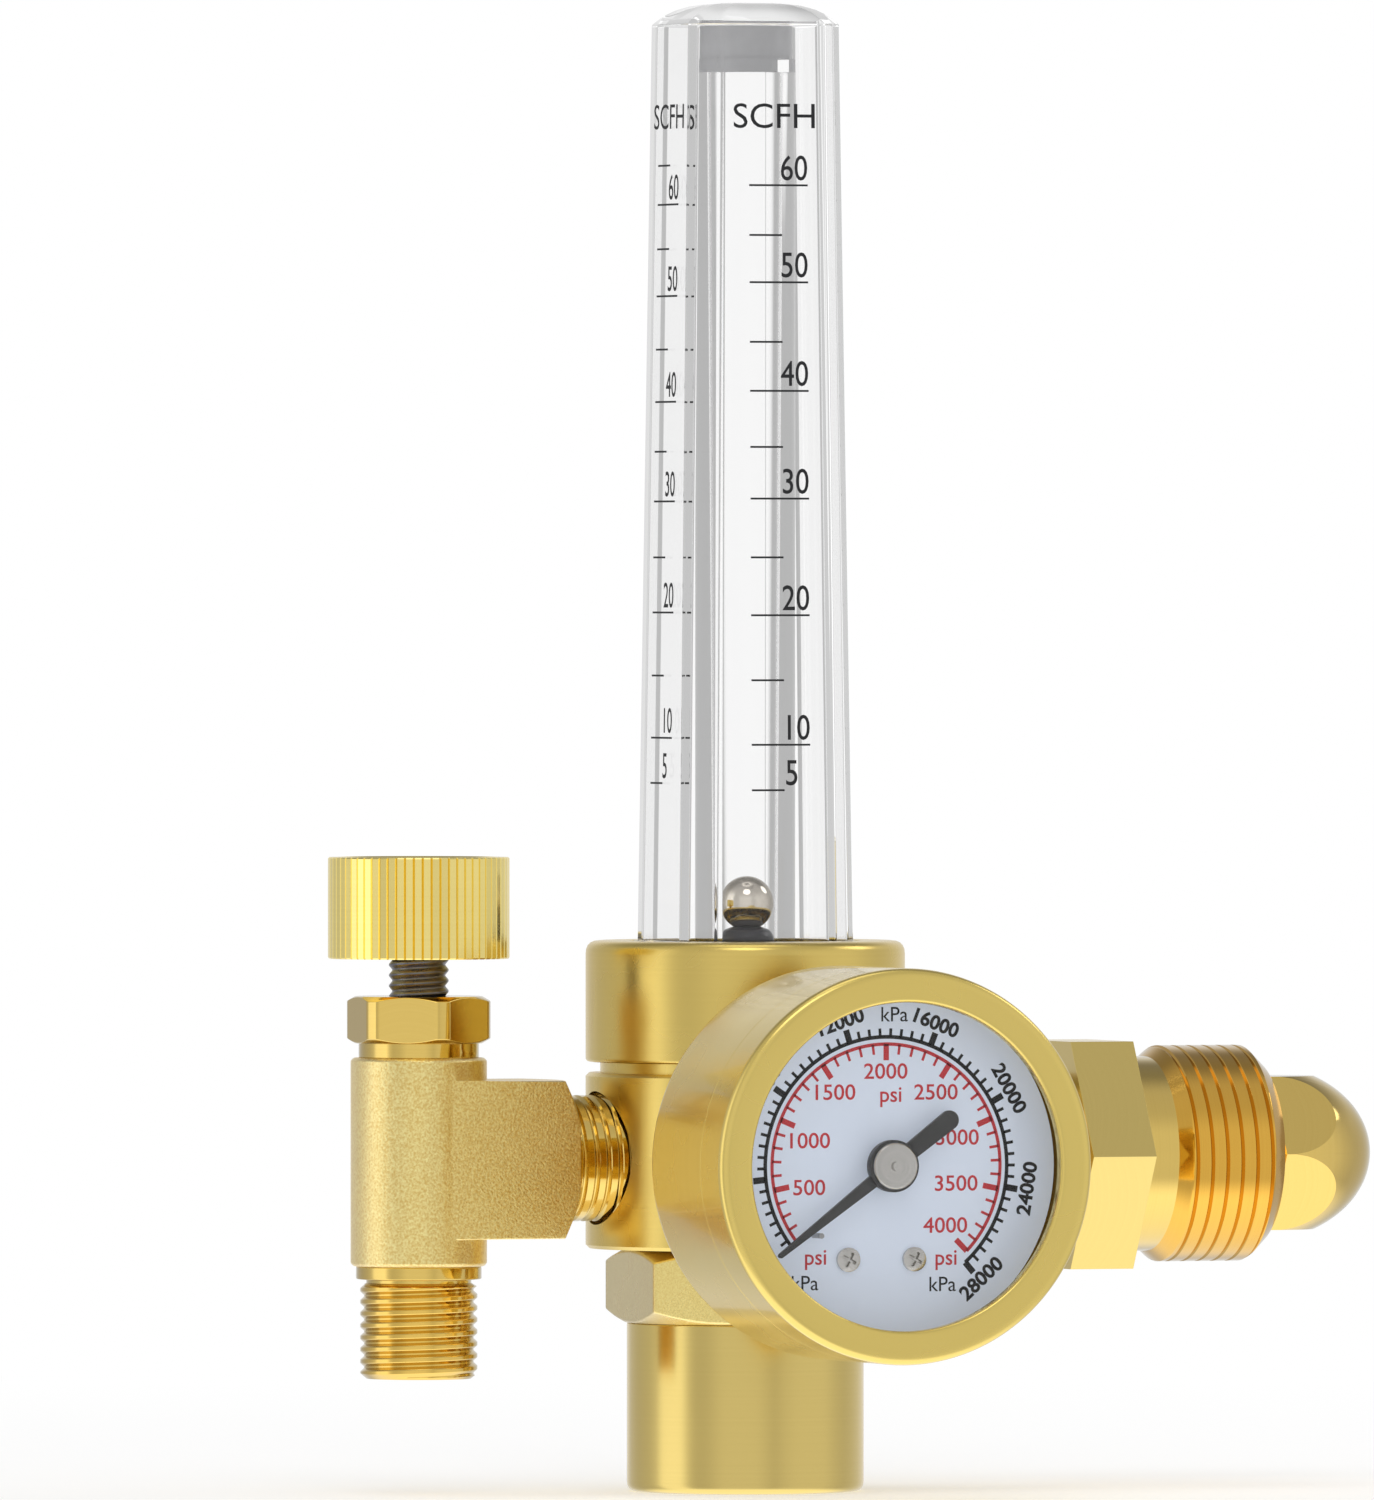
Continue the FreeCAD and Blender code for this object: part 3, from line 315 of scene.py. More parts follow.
@dataclass(frozen=True)
class ClearFinish:
    """A clear plastic: a see-through base and a clear gloss over it."""

    name: str
    slot: str
    tint: str
    ior: float
    gloss: float              # weight of the gloss over the base
    shine: str = "FFFFFF"     # how much of the light the base throws back, as a grey
    waviness: float = 0.0     # depth of the slow moulding waves
    wave: float = 6.0         # their size
    turns: float = 2.5        # mirrorings in the wall after which light goes straight on
    steps: float = 9.5        # and steps of any kind after which it does

    def material(self, seat: Seat = TUBE) -> bpy.types.Material:
        """The finish, made once; a clear plastic has no lay, so the seat isn't used."""
        return bpy.data.materials.get(self.name) or self.build()

    def build(self) -> bpy.types.Material:
        """Makes the material, with faint flow waves of the moulding as bump.

        Light that has turned in the wall several times goes straight on, so corners stay
        grey instead of black.

        Returns:
            The material.
        """
        made = bpy.data.materials.new(self.name)
        made.use_nodes = True
        tree = made.node_tree
        shader = tree.nodes["Principled BSDF"]
        place = add_node(tree, "ShaderNodeTexCoord").outputs["Object"]
        waves = add_node(tree, "ShaderNodeTexNoise", {}, {
            "Vector": place, "Scale": 1 / (self.wave * MM), "Detail": 1.0}).outputs["Fac"]
        normal = add_node(tree, "ShaderNodeBump", {}, {
            "Height": waves, "Distance": self.waviness * MM,
            "Strength": 1.0}).outputs["Normal"]
        path = add_node(tree, "ShaderNodeLightPath")
        few_turns, few_steps = (
            add_node(tree, "ShaderNodeMath", {"operation": "LESS_THAN"}, {
                0: path.outputs[depth], 1: limit}).outputs["Value"]
            for depth, limit in (("Glossy Depth", self.turns), ("Ray Depth", self.steps)))
        solid = add_node(tree, "ShaderNodeMath", {"operation": "MINIMUM"}, {
            0: few_turns, 1: few_steps}).outputs["Value"]
        feed(tree, shader, {
            "Normal": normal, "Coat Normal": normal, "Alpha": solid,
            "Base Color": srgb(self.tint), "Roughness": 0.0, "IOR": self.ior,
            "Transmission Weight": 1.0, "Specular Tint": srgb(self.shine),
            "Coat Weight": self.gloss, "Coat IOR": 1.5, "Coat Roughness": 0.0})
        return made


# Finishes, each named for the real material and its process

# Turned brass, lacquered satin: broad soft reflections, faint rings
SATIN_BRASS = Finish("satin_turned_brass", "satin_brass", "E2C978", "D4B866", 0.2,
                     spacing=0.3, depth=0.0006, speckle=0.12, unevenness=0.02, coat=0.3,
                     coat_roughness=0.2)
# The same brass on the body and collar, polished less: softer edges of the bands of light
BODY_BRASS = replace(SATIN_BRASS, name="satin_turned_body_brass", colour="E4C970",
                     deep="D6B85E", roughness=0.27, coat_roughness=0.27)
# Machined brass, bright: sharp bands of light in the threads and on the flats, and a painted
# shade that darkens it towards the outline
BRIGHT_BRASS = Finish("bright_machined_brass", "bright_brass", "F2D070", "E0B850", 0.1,
                      spacing=0.3, depth=0.0003, speckle=0.12, unevenness=0.02, coat=0.4,
                      coat_roughness=0.1, rim="988C68")
# Brass with a cut thread, bright: its gold is painted deeper for the flanks mirroring each
# other, and a painted shade darkens it towards the outline
THREAD_BRASS = replace(BRIGHT_BRASS, name="cut_thread_brass", colour="F4BE4C",
                       deep="E09E34", coat=0.25, rim="8E8260")
# The same on the outlet, whose deeper thread mirrors itself more and needs a paler gold; it
# keeps a painted shade towards the outline
HOSE_BRASS = replace(BRIGHT_BRASS, name="chased_thread_brass", colour="F8D068",
                     deep="ECBC50", coat=0.3)
# Milled brass hexagon, softly blasted: flat pale facets with fine grain, and a painted grey
# reflection towards the outline
BLASTED_BRASS = Finish("blasted_brass", "satin_brass", "FFEC9C", "DCB860", 0.27,
                       lay=Lay.GRAIN, spacing=0.2, depth=0.04, speckle=0.5, rim="CCC2B4")
# Cast brass, sandblasted: matt, with grains that catch the light one by one, and a painted pale
# sheen towards the outline
CAST_BRASS = Finish("sandblasted_cast_brass", "cast_brass", "FFF0A8", "E0BE6C", 0.38,
                    lay=Lay.GRAIN, spacing=0.27, depth=0.05, speckle=1.0, rim="F8E6BC")
# Broached brass knob: bright ribs with a clean cut
FLUTED_BRASS = Finish("broached_brass", "fluted_brass", "FFEA92", "F2D478", 0.16,
                      spacing=0.4, depth=0.0004, speckle=0.12, coat=0.2)
# Brass-plated steel under clear lacquer: a smooth olive gold with a gloss over it
GILT_STEEL = Finish("lacquered_brass_plate", "gilt_steel", "E8CE72", "DEC266", 0.26,
                    spacing=1.2, depth=0.0003, speckle=0.12, coat=0.5)
# Polished ball-bearing steel: a clear mirror of the whole room, with a painted dark reflection
# towards the outline
BALL_STEEL = Finish("polished_bearing_steel", "bright_steel", "EAE2D6", "DED6C8", 0.05,
                    lay=Lay.GRAIN, spacing=0.6, depth=0.0002, speckle=0.1, rim="6A6254")
# Nickelled steel, turned: pale grey with fine rings
NICKEL = Finish("nickelled_turned_steel", "bright_steel", "C8C6C2", "AAA8A4", 0.22,
                spacing=0.25, depth=0.003, speckle=0.3)
# Spring and pin steel, drawn: dull grey
DRAWN_STEEL = Finish("drawn_steel", "steel", "A8A8A8", "8A8A8A", 0.35, spacing=0.4, depth=0.003)
# Blackened steel: dark with a grey sheen on the crests
BLACK_STEEL = Finish("blackened_steel", "dark_steel", "74747E", "5E5E68", 0.3,
                     spacing=0.3, depth=0.001, metallic=0.9)
# Sintered bronze: open brown grains
SINTERED = Finish("sintered_bronze", "bronze", "9A7848", "5E4526", 0.6, lay=Lay.GRAIN,
                  spacing=0.3, depth=0.06, speckle=0.8)
# Bronze strip, rolled: even brown gold
ROLLED_BRONZE = Finish("rolled_bronze", "bronze", "A5824C", "84653A", 0.3, spacing=0.5)
# Grey moulded plastic: smooth with faint cloudiness, and a painted highlight on faces that look
# up
GREY_PLASTIC = Finish("moulded_grey_plastic", "grey_plastic", "C8C8CA", "B6B6B8", 0.3,
                      metallic=0.0, lay=Lay.GRAIN, spacing=1.4, depth=0.004, top="F4F4F4")
# Dark moulded plastic: near black, soft gloss
DARK_PLASTIC = Finish("moulded_dark_plastic", "dark_plastic", "4C4C52", "3A3A40", 0.32,
                      metallic=0.0, lay=Lay.GRAIN, spacing=0.8, depth=0.004)
# Nitrile rubber, moulded: black and matt
RUBBER = Finish("moulded_nitrile", "rubber", "1E1E1E", "141414", 0.6, metallic=0.0,
                lay=Lay.GRAIN, spacing=0.3, depth=0.006)
# Pressed fibre: red brown with visible fibres
FIBRE = Finish("pressed_fibre", "fibre", "8A3A28", "662818", 0.7, metallic=0.0,
               lay=Lay.GRAIN, spacing=0.35, depth=0.02, speckle=0.7)
# Enamelled dial plate: cool pale grey, faint orange peel, and painted light that makes it glow
# so the bezel's shade doesn't darken it
DIAL_ENAMEL = Finish("enamelled_plate", "dial_white", "C6CFDE", "BEC8D8", 0.38, metallic=0.0,
                     lay=Lay.GRAIN, spacing=0.9, depth=0.002, speckle=0.3, glow=0.36)
# Printing inks: flat, with the slight unevenness of a screen print
BLACK_INK = Finish("black_screen_ink", "pointer_black", "101216", "181A1E", 0.7, metallic=0.0,
                   lay=Lay.GRAIN, spacing=0.5, depth=0.001)
RED_INK = Finish("red_screen_ink", "dial_white", "D2303A", "C42832", 0.45, metallic=0.0,
                 lay=Lay.GRAIN, spacing=0.5, depth=0.001)
# Stove-blackened strip: charcoal, matt
POINTER_BLACK = Finish("stoved_black", "pointer_black", "3C3C3C", "303030", 0.42, metallic=0.0,
                       lay=Lay.GRAIN, spacing=0.4, depth=0.002)
# Moulded polycarbonate: bends light at every facet, as the real cover does
COVER_CLEAR = ClearFinish("moulded_polycarbonate", "clear_plastic", "FEFEFE", 1.49, 0.0,
                          "A0A0A0", 0.002)
# Drawn clear tube: seen through almost straight, with a gloss at its edges
TUBE_CLEAR = ClearFinish("drawn_clear_tube", "clear_plastic", "FDFDFD", 1.09, 0.15,
                         waviness=0.0003)
# Cast clear sheet: a flat window that bends nothing, with a faint gloss
LENS_CLEAR = ClearFinish("flat_clear_window", "clear_plastic", "FEFEFE", 1.02, 0.3,
                         waviness=0.0002)


# Surfaces

def outline(corners: Sequence[Corner], steps: int = 5) -> np.ndarray:
    """The points of a section whose corners are rounded.

    A corner with a reach becomes the curve (1-t)^2 A + 2t(1-t) C + t^2 B, where A and B lie
    that far from the corner C along its two sides.

    Args:
        corners: radius, height and reach of each corner, in order round the section.
        steps: pieces of each rounded corner.

    Returns:
        An array of points, each a radius and a height.
    """
    points = np.array([corner[:2] for corner in corners], float)
    t = np.linspace(0, 1, steps + 1)[:, None]
    rounded = []
    for index, (_, _, reach) in enumerate(corners):
        here = points[index]
        if not reach:
            rounded.append(here[None])
            continue
        sides = [points[index - 1] - here, points[(index + 1) % len(points)] - here]
        first, last = (here + side / np.linalg.norm(side) * reach for side in sides)
        rounded.append((1 - t) ** 2 * first + 2 * t * (1 - t) * here + t ** 2 * last)
    return np.concatenate(rounded)


def full_turn(count: int = COLUMNS) -> np.ndarray:
    """Evenly spaced angles of a full turn."""
    return np.arange(count) * 2 * math.pi / count


def polar(seat: Seat, angle: np.ndarray, radius: np.ndarray, height: np.ndarray) -> np.ndarray:
    """A surface about a seat's axis: x = radius cos(angle), y = radius sin(angle), height.

    Args:
        seat: the axis.
        angle: one angle for each column.
        radius: radius at each row and column.
        height: height at each row and column.

    Returns:
        Points as rows by columns by three.
    """
    angle, radius, height = np.broadcast_arrays(angle, radius, height)
    local = np.stack([radius * np.cos(angle), radius * np.sin(angle), height], -1)
    return seat.place(local)


def turned(seat: Seat, corners: Sequence[Corner], columns: int = COLUMNS) -> np.ndarray:
    """A section carried round an axis: every point keeps its radius and height.

    Args:
        seat: the axis.
        corners: the section, as outline takes it.
        columns: points round the piece.

    Returns:
        Points as rows by columns by three.
    """
    section = outline(corners)
    return polar(seat, full_turn(columns), section[:, :1], section[:, 1:])


def hex_radius(angle: np.ndarray, flats: float, face_angle: float) -> np.ndarray:
    """Distance of a hexagon's side: half the flats over cos(angle from the face's middle).

    Args:
        angle: angles round the axis.
        flats: width across the flats.
        face_angle: direction of one face, in degrees.

    Returns:
        The side's distance at each angle.
    """
    sixth = math.pi / 3
    turn = np.mod(angle - math.radians(face_angle) + sixth / 2, sixth) - sixth / 2
    return flats / 2 / np.cos(turn)


def hexagon(seat: Seat, flats: float, low: float, high: float, inner: float,
            face_angle: float, bevels: tuple[bool, bool] = (True, True),
            corner: float = math.inf) -> np.ndarray:
    """A nut's hexagon as a closed ring.

    Rows run inner low, end face, side low, side high, end face, inner high. A bevelled end
    face stops at a share of the flats' half width, and the side starts where the cone from
    there meets it: height = (side radius - face radius) tan(bevel).

    Args:
        seat: the axis.
        flats: width across the flats.
        low: height of the lower end.
        high: height of the upper end.
        inner: radius of the hole.
        face_angle: direction of one face, in degrees.
        bevels: whether the lower and the upper corners are turned off.
        corner: radius that the corners are turned down to.

    Returns:
        Points as rows by columns by three.
    """
    angle = full_turn()
    side = np.minimum(hex_radius(angle, flats, face_angle), corner)
    face = np.full_like(side, flats / 2 * HEX_TURNED)
    drop = (side - face) * math.tan(HEX_BEVEL)
    flat = np.zeros_like(side)
    faces = [face if bevel else side - HEX_EASE for bevel in bevels]
    drops = [drop if bevel else flat for bevel in bevels]
    hole = flat + inner
    radius = np.stack([hole, faces[0], side, side, faces[1], hole])
    height = np.stack([flat + low, flat + low, low + drops[0], high - drops[1],
                       flat + high, flat + high])
    return polar(seat, angle, radius, height)


@dataclass(frozen=True)
class Thread:
    """A screw thread: its size and how its ends are turned off."""

    radius: float
    pitch: float
    depth: float
    low: float
    high: float
    low_radius: float         # where the thread ends below
    high_radius: float
    bore: float
    low_slope: float = 1.0    # radius gained for each millimetre from the end
    high_slope: float = 1.0
    crest: float = 0.16       # share of the pitch that is flat on top
    root: float = 0.1
    steps: int = 16           # rows for each pitch

    def surface(self, seat: Seat, columns: int = COLUMNS) -> np.ndarray:
        """The thread as a closed ring.

        A row is a helix: height = start + row step + pitch angle / full turn, kept between
        the ends. Its radius falls from crest to root with straight flanks, and isn't more
        than the end radius plus slope times the distance from that end.

        Args:
            seat: the axis.
            columns: steps round the piece; the seam has a column of its own.

        Returns:
            Points as rows by columns by three.
        """
        angle = np.linspace(0, 2 * math.pi, columns + 1)
        length = self.high - self.low
        rows = int(math.ceil(length / self.pitch + 1)) * self.steps + 1
        share = np.arange(rows)[:, None] / self.steps
        height = self.low + self.pitch * (share - 1 + angle / (2 * math.pi))
        height = np.clip(height, self.low, self.high)
        fall = 1 - np.abs(2 * np.mod(share, 1) - 1)
        fall = np.clip((fall - self.crest) / (1 - self.crest - self.root), 0, 1)
        radius = self.radius - self.depth * fall + 0 * angle
        radius = np.minimum(radius, self.low_radius + self.low_slope * (height - self.low))
        radius = np.minimum(radius, self.high_radius + self.high_slope * (self.high - height))
        hole = np.full_like(angle, self.bore)
        radius = np.vstack([hole, radius, hole])
        height = np.vstack([hole * 0 + self.low, height, hole * 0 + self.high])
        return polar(seat, angle, radius, height)


# Pieces

def mesh_of(name: str, grid: np.ndarray, wrap_columns: bool, wrap_rows: bool,
            crease: float) -> bpy.types.Mesh:
    """A mesh from a grid of points, each cell a face; coinciding points are made one.

    Args:
        name: the mesh's name.
        grid: points as rows by columns by three, in millimetres.
        wrap_columns: whether the last column joins the first.
        wrap_rows: whether the last row joins the first.
        crease: angle in degrees above which an edge is sharp.

    Returns:
        The mesh, smooth, with its faces pointing outwards.
    """
    rows, columns = grid.shape[:2]
    i = np.arange(rows if wrap_rows else rows - 1)[:, None]
    j = np.arange(columns if wrap_columns else columns - 1)[None, :]
    below, beside = (i + 1) % rows, (j + 1) % columns
    cells = [i * columns + j, i * columns + beside, below * columns + beside,
             below * columns + j]
    faces = np.stack(cells, -1).reshape(-1, 4)
    mesh = bpy.data.meshes.new(name)
    mesh.vertices.add(rows * columns)
    mesh.vertices.foreach_set("co", (grid * MM).astype(np.float32).ravel())
    mesh.loops.add(faces.size)
    mesh.loops.foreach_set("vertex_index", faces.astype(np.int32).ravel())
    mesh.polygons.add(len(faces))
    mesh.polygons.foreach_set("loop_start", np.arange(0, faces.size, 4, dtype=np.int32))
    mesh.update(calc_edges=True)
    work = bmesh.new()
    work.from_mesh(mesh)
    bmesh.ops.remove_doubles(work, verts=work.verts, dist=MESH_WELD)
    bmesh.ops.recalc_face_normals(work, faces=work.faces)
    work.to_mesh(mesh)
    work.free()
    mesh.shade_smooth()
    mesh.set_sharp_from_angle(angle=math.radians(crease))
    return mesh


def put(name: str, data: bpy.types.ID) -> bpy.types.Object:
    """A new object of the scene with the given mesh, light or camera."""
    made = bpy.data.objects.new(name, data)
    bpy.context.scene.collection.objects.link(made)
    return made


def soft_edges(piece: bpy.types.Object, width: float, above: float) -> None:
    """Bevels a piece's edges.

    Args:
        piece: the piece.
        width: of the bevel.
        above: angle in degrees from which an edge is bevelled.
    """
    bevel = piece.modifiers.new("soft_edges", "BEVEL")
    bevel.width = width * MM
    bevel.segments = 2
    bevel.limit_method = "ANGLE"
    bevel.angle_limit = math.radians(above)


def even_shading(piece: bpy.types.Object) -> None:
    """Lets large faces lead the shading, and keeps sharp edges sharp."""
    piece.modifiers.new("even_shading", "WEIGHTED_NORMAL").keep_sharp = True


def add_piece(name: str, mesh: bpy.types.Mesh, finish: Finish | ClearFinish,
              seat: Seat = TUBE, body: str = "root", nodes: Sequence[str] = (),
              soften: float = 0.0, stretch: tuple[float, float] | None = None) -> None:
    """Puts a mesh into the scene as a piece of the regulator.

    Args:
        name: the piece's name.
        mesh: its mesh, in the frame.
        finish: its finish.
        seat: the axis that its finish runs about.
        body: the moving body that it rides on.
        nodes: the solids that it stands for.
        soften: width of the bevel on its edges, or none.
        stretch: for a spring, two heights, which are not used; when it is given, the piece
        stays where it is in the frame instead of riding on the moving body.
    """
    piece = put(name, mesh)
    piece.data.materials.append(finish.material(seat))
    if soften:
        soft_edges(piece, soften, SOFTEN_ABOVE)
    even_shading(piece)
    if stretch:
        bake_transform(piece)
    else:
        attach(piece, body)
    if nodes:
        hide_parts(*nodes)
    log.info("%s: %d faces, %s", name, len(mesh.polygons), finish.name)


def add_surface(name: str, grid: np.ndarray, finish: Finish | ClearFinish,
                seat: Seat = TUBE, body: str = "root", nodes: Sequence[str] = (),
                soften: float = 0.0, wrap_columns: bool = True, wrap_rows: bool = True,
                crease: float = 32.0) -> None:
    """Makes a piece from a grid of points; the arguments are those of mesh_of and add_piece."""
    mesh = mesh_of(name, grid, wrap_columns, wrap_rows, 180.0 if soften else crease)
    add_piece(name, mesh, finish, seat, body, nodes, soften)


def dress(frame: dict, node: str, finish: Finish, seat: Seat = TUBE,
          soften: float = 0.0) -> None:
    """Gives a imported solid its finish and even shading, with its shape as it is.

    Args:
        node: the solid's name.
        finish: its finish.
        seat: the axis that its finish runs about.
        soften: width of the bevel on its edges, or none.
    """
    solid = frame["nodes"][node]
    solid.data.materials.clear()
    solid.data.materials.append(finish.material(seat))
    solid.data.shade_smooth()
    weld = solid.modifiers.new("one_skin", "WELD")
    weld.merge_threshold = SOLID_WELD
    if soften:
        soft_edges(solid, soften, SHARP_ABOVE)
    split = solid.modifiers.new("sharp_edges", "EDGE_SPLIT")
    split.split_angle = math.radians(SHARP_ABOVE)
    even_shading(solid)
    log.info("%s: solid kept, %s", node, finish.name)


# Print

@dataclass(frozen=True)
class Label:
    """A word or number: its text, height, place and turn in the plane it is printed on."""

    text: str
    height: float
    x: float
    y: float
    turn: float = 0.0         # degrees, anticlockwise
    align: float = 0.5        # 0 starts at x, 0.5 is centred on it, 1 ends at it
    squeeze: float = 1.0      # of the width
    weight: float = 0.0       # how far outlines move out, as a share of the font's size


def points_of(mesh: bpy.types.Mesh) -> np.ndarray:
    """A mesh's points, count by three."""
    points = np.empty(len(mesh.vertices) * 3, np.float32)
    mesh.vertices.foreach_get("co", points)
    return points.reshape(-1, 3)


def thicken(letters: bpy.types.Mesh, weight: float) -> None:
    """Makes flat letters bolder: every outline moves outwards by the weight.

    A corner moves by weight x 2 N / |N|^2, where N is the sum of the outward normals of its
    two outline edges, so both edges end up the weight further out. |N|^2 counts as at least
    a half, so a sharp corner isn't drawn out. Corners that nearly coincide are made one
    first.

    Args:
        letters: a flat mesh that faces up, in the curve's own units.
        weight: how far the outlines move.
    """
    work = bmesh.new()
    work.from_mesh(letters)
    bmesh.ops.remove_doubles(work, verts=work.verts, dist=LETTER_WELD)
    bmesh.ops.triangulate(work, faces=work.faces)
    work.to_mesh(letters)
    work.free()
    corner = np.empty(len(letters.loops), np.int32)
    edge = np.empty(len(letters.loops), np.int32)
    letters.loops.foreach_get("vertex_index", corner)
    letters.loops.foreach_get("edge_index", edge)
    index = np.arange(len(corner))
    following = corner[np.where(index % 3 == 2, index - 2, index + 1)]
    outer = np.bincount(edge)[edge] == 1
    start, end = corner[outer], following[outer]
    points = points_of(letters)
    along = points[end] - points[start]
    outward = np.stack([along[:, 1], -along[:, 0], 0 * along[:, 0]], -1)
    outward /= np.linalg.norm(outward, axis=1, keepdims=True)
    total = np.zeros_like(points)
    np.add.at(total, start, outward)
    np.add.at(total, end, outward)
    square = np.maximum((total ** 2).sum(1, keepdims=True), 0.5)
    letters.vertices.foreach_set("co", (points + 2 * weight * total / square).ravel())


def lettering(name: str, labels: Sequence[Label], seat: Matrix) -> bpy.types.Mesh:
    """Labels as one mesh of thin raised letters.

    Args:
        name: the mesh's name.
        labels: what is printed.
        seat: the move from the printed plane to the frame, in metres.

    Returns:
        The mesh.
    """
    work = bmesh.new()
    for label in labels:
        curve = bpy.data.curves.new(name, "FONT")
        curve.body = label.text
        curve.size = 1.0
        curve.resolution_u = 4
        carrier = bpy.data.objects.new(name, curve)
        flat = bpy.data.meshes.new_from_object(carrier)
        if label.weight:
            thicken(flat, label.weight)
        points = points_of(flat)
        low, high = points.min(0), points.max(0)
        size = label.height / (high[1] - low[1])
        points[:, 0] = points[:, 0] - low[0] - label.align * (high[0] - low[0])
        points[:, 0] *= size * label.squeeze
        points[:, 1] = (points[:, 1] - (low[1] + high[1]) / 2) * size
        flat.vertices.foreach_set("co", (points * MM).ravel())
        turn = Matrix.Rotation(math.radians(label.turn), 4, "Z")
        flat.transform(seat @ Matrix.Translation((label.x * MM, label.y * MM, 0)) @ turn)
        work.from_mesh(flat)
        bpy.data.objects.remove(carrier)
        bpy.data.curves.remove(curve)
        bpy.data.meshes.remove(flat)
    up = seat.to_3x3() @ Vector((0, 0, INK * MM))
    top = bmesh.ops.extrude_face_region(work, geom=work.faces[:])
    moved = [part for part in top["geom"] if isinstance(part, bmesh.types.BMVert)]
    bmesh.ops.translate(work, verts=moved, vec=up)
    bmesh.ops.recalc_face_normals(work, faces=work.faces)
    mesh = bpy.data.meshes.new(name)
    work.to_mesh(mesh)
    work.free()
    return mesh


def bars(name: str, centre: np.ndarray, along: np.ndarray, length: np.ndarray,
         width: np.ndarray, seat: Matrix) -> bpy.types.Mesh:
    """Many thin printed strokes: each is centre +- length/2 along +- width/2 across.

    Args:
        name: the mesh's name.
        centre: the strokes' middles, count by two.
        along: their directions, count by two.
        length: their lengths.
        width: their widths.
        seat: the move from the printed plane to the frame, in metres.

    Returns:
        The mesh.
    """
    across = np.stack([-along[:, 1], along[:, 0]], -1)
    ends = along * length[:, None] / 2
    sides = across * width[:, None] / 2
    flat = np.stack([centre - ends - sides, centre + ends - sides, centre + ends + sides,
                     centre - ends + sides], 1)
    points = np.concatenate([np.pad(flat, ((0, 0), (0, 0), (0, 1)), constant_values=level)
                             for level in (0.0, INK)], 1).reshape(-1, 3)
    cube = np.array([[0, 3, 2, 1], [4, 5, 6, 7], [0, 1, 5, 4], [1, 2, 6, 5], [2, 3, 7, 6],
                     [3, 0, 4, 7]])
    faces = (np.arange(len(centre))[:, None, None] * 8 + cube).reshape(-1, 4)
    mesh = bpy.data.meshes.new(name)
    mesh.from_pydata((points * MM).tolist(), [], faces.tolist())
    mesh.transform(seat)
    mesh.update()
    return mesh


def band(radius: float, width: float, first: float, last: float, height: float,
         steps: int = 180) -> np.ndarray:
    """A printed arc on the gauge: a flat rectangular section carried from angle to angle.

    Args:
        radius: of the arc's middle.
        width: of the line.
        first: starting angle, in degrees.
        last: closing angle, in degrees.
        height: of the dial's face.
        steps: pieces of the arc.

    Returns:
        Points as rows by columns by three; rows follow the arc.
    """
    angle = np.radians(np.linspace(first, last, steps + 1))[:, None]
    section = np.array([(-1, 0), (1, 0), (1, 1), (-1, 1)], float)
    radii = radius + section[:, 0] * width / 2
    heights = height + section[:, 1] * INK
    grid = polar(GAUGE, angle, radii, heights)
    ends = [np.broadcast_to(row.mean(0), row.shape)[None] for row in (grid[0], grid[-1])]
    return np.concatenate([ends[0], grid, ends[1]])


# Sub-assemblies

@dataclass
class Bonnet:
    """Turned barrel and blasted hexagon that hold the spring and the piston."""

    radius: float = 13.35
    height: float = 19.0
    edge: float = 1.1
    floor: float = 3.0
    spring_bore: float = 8.0
    shoulder: float = 27.85
    piston_bore: float = 9.55
    hex_flats: float = 27.8
    hex_top: float = 27.4
    spigot: float = 12.0
    top: float = 33.2
    coil_radius: float = 6.0
    coil_wire: float = 0.99
    coil_top: float = 28.58
    coil_turns: int = 6

    def coil_grid(self) -> np.ndarray:
        """The range spring: a round wire along a helix between the floor and the piston.

        The wire's middle is at height = start + rise x angle / whole angle on the coil's
        radius; round it runs a circle in the plane through the axis.

        Returns:
            Points as rows by columns by three.
        """
        share = np.linspace(0, 1, self.coil_turns * 48 + 1)[:, None]
        around = 2 * math.pi * self.coil_turns * share
        circle = full_turn(20)
        start = self.floor + self.coil_wire
        rise = self.coil_top - self.floor - 2 * self.coil_wire
        wire = np.full_like(share, self.coil_wire)
        wire = np.vstack([wire[:1] * 0, wire, wire[:1] * 0])
        share = np.vstack([share[:1], share, share[-1:]])
        around = np.vstack([around[:1], around, around[-1:]])
        radius = self.coil_radius + wire * np.cos(circle)
        height = start + rise * share + wire * np.sin(circle)
        return TUBE.place(np.stack([radius * np.cos(around), radius * np.sin(around), height],
                                   -1))

    def build(self, frame: dict) -> None:
        """Makes the barrel with its bores, and the hexagon round the spigot.
        """
        barrel = [(0, 0, 0), (self.radius, 0, self.edge), (self.radius, self.height, 0.2),
                  (self.spigot, self.height, 0), (self.spigot, self.top, 0.3),
                  (self.piston_bore, self.top, 0.2), (self.piston_bore, self.shoulder, 0),
                  (self.spring_bore, self.shoulder, 0.2), (self.spring_bore, self.floor, 0.5),
                  (0, self.floor, 0)]
        add_surface("bonnet_barrel", turned(TUBE, barrel), SATIN_BRASS, nodes=["bonnet"],
                    wrap_rows=False)
        grid = hexagon(TUBE, self.hex_flats, self.height, self.hex_top, self.spigot, -60)
        add_surface("bonnet_hexagon", grid, BLASTED_BRASS, nodes=["bonnet"], soften=0.22)
        dress(frame, "bonnet_seal", FIBRE)
        coil = mesh_of("range_coil", self.coil_grid(), True, False, 60.0)
        add_piece("range_coil", coil, DRAWN_STEEL, body="piston", nodes=["range_spring"],
                  stretch=(self.floor + 1, self.coil_top - 1))
        for node, finish in (("piston", BRIGHT_BRASS), ("piston_seal", RUBBER),
                             ("nozzle", BRIGHT_BRASS), ("poppet", DARK_PLASTIC),
                             ("poppet_spring", DRAWN_STEEL)):
            dress(frame, node, finish)


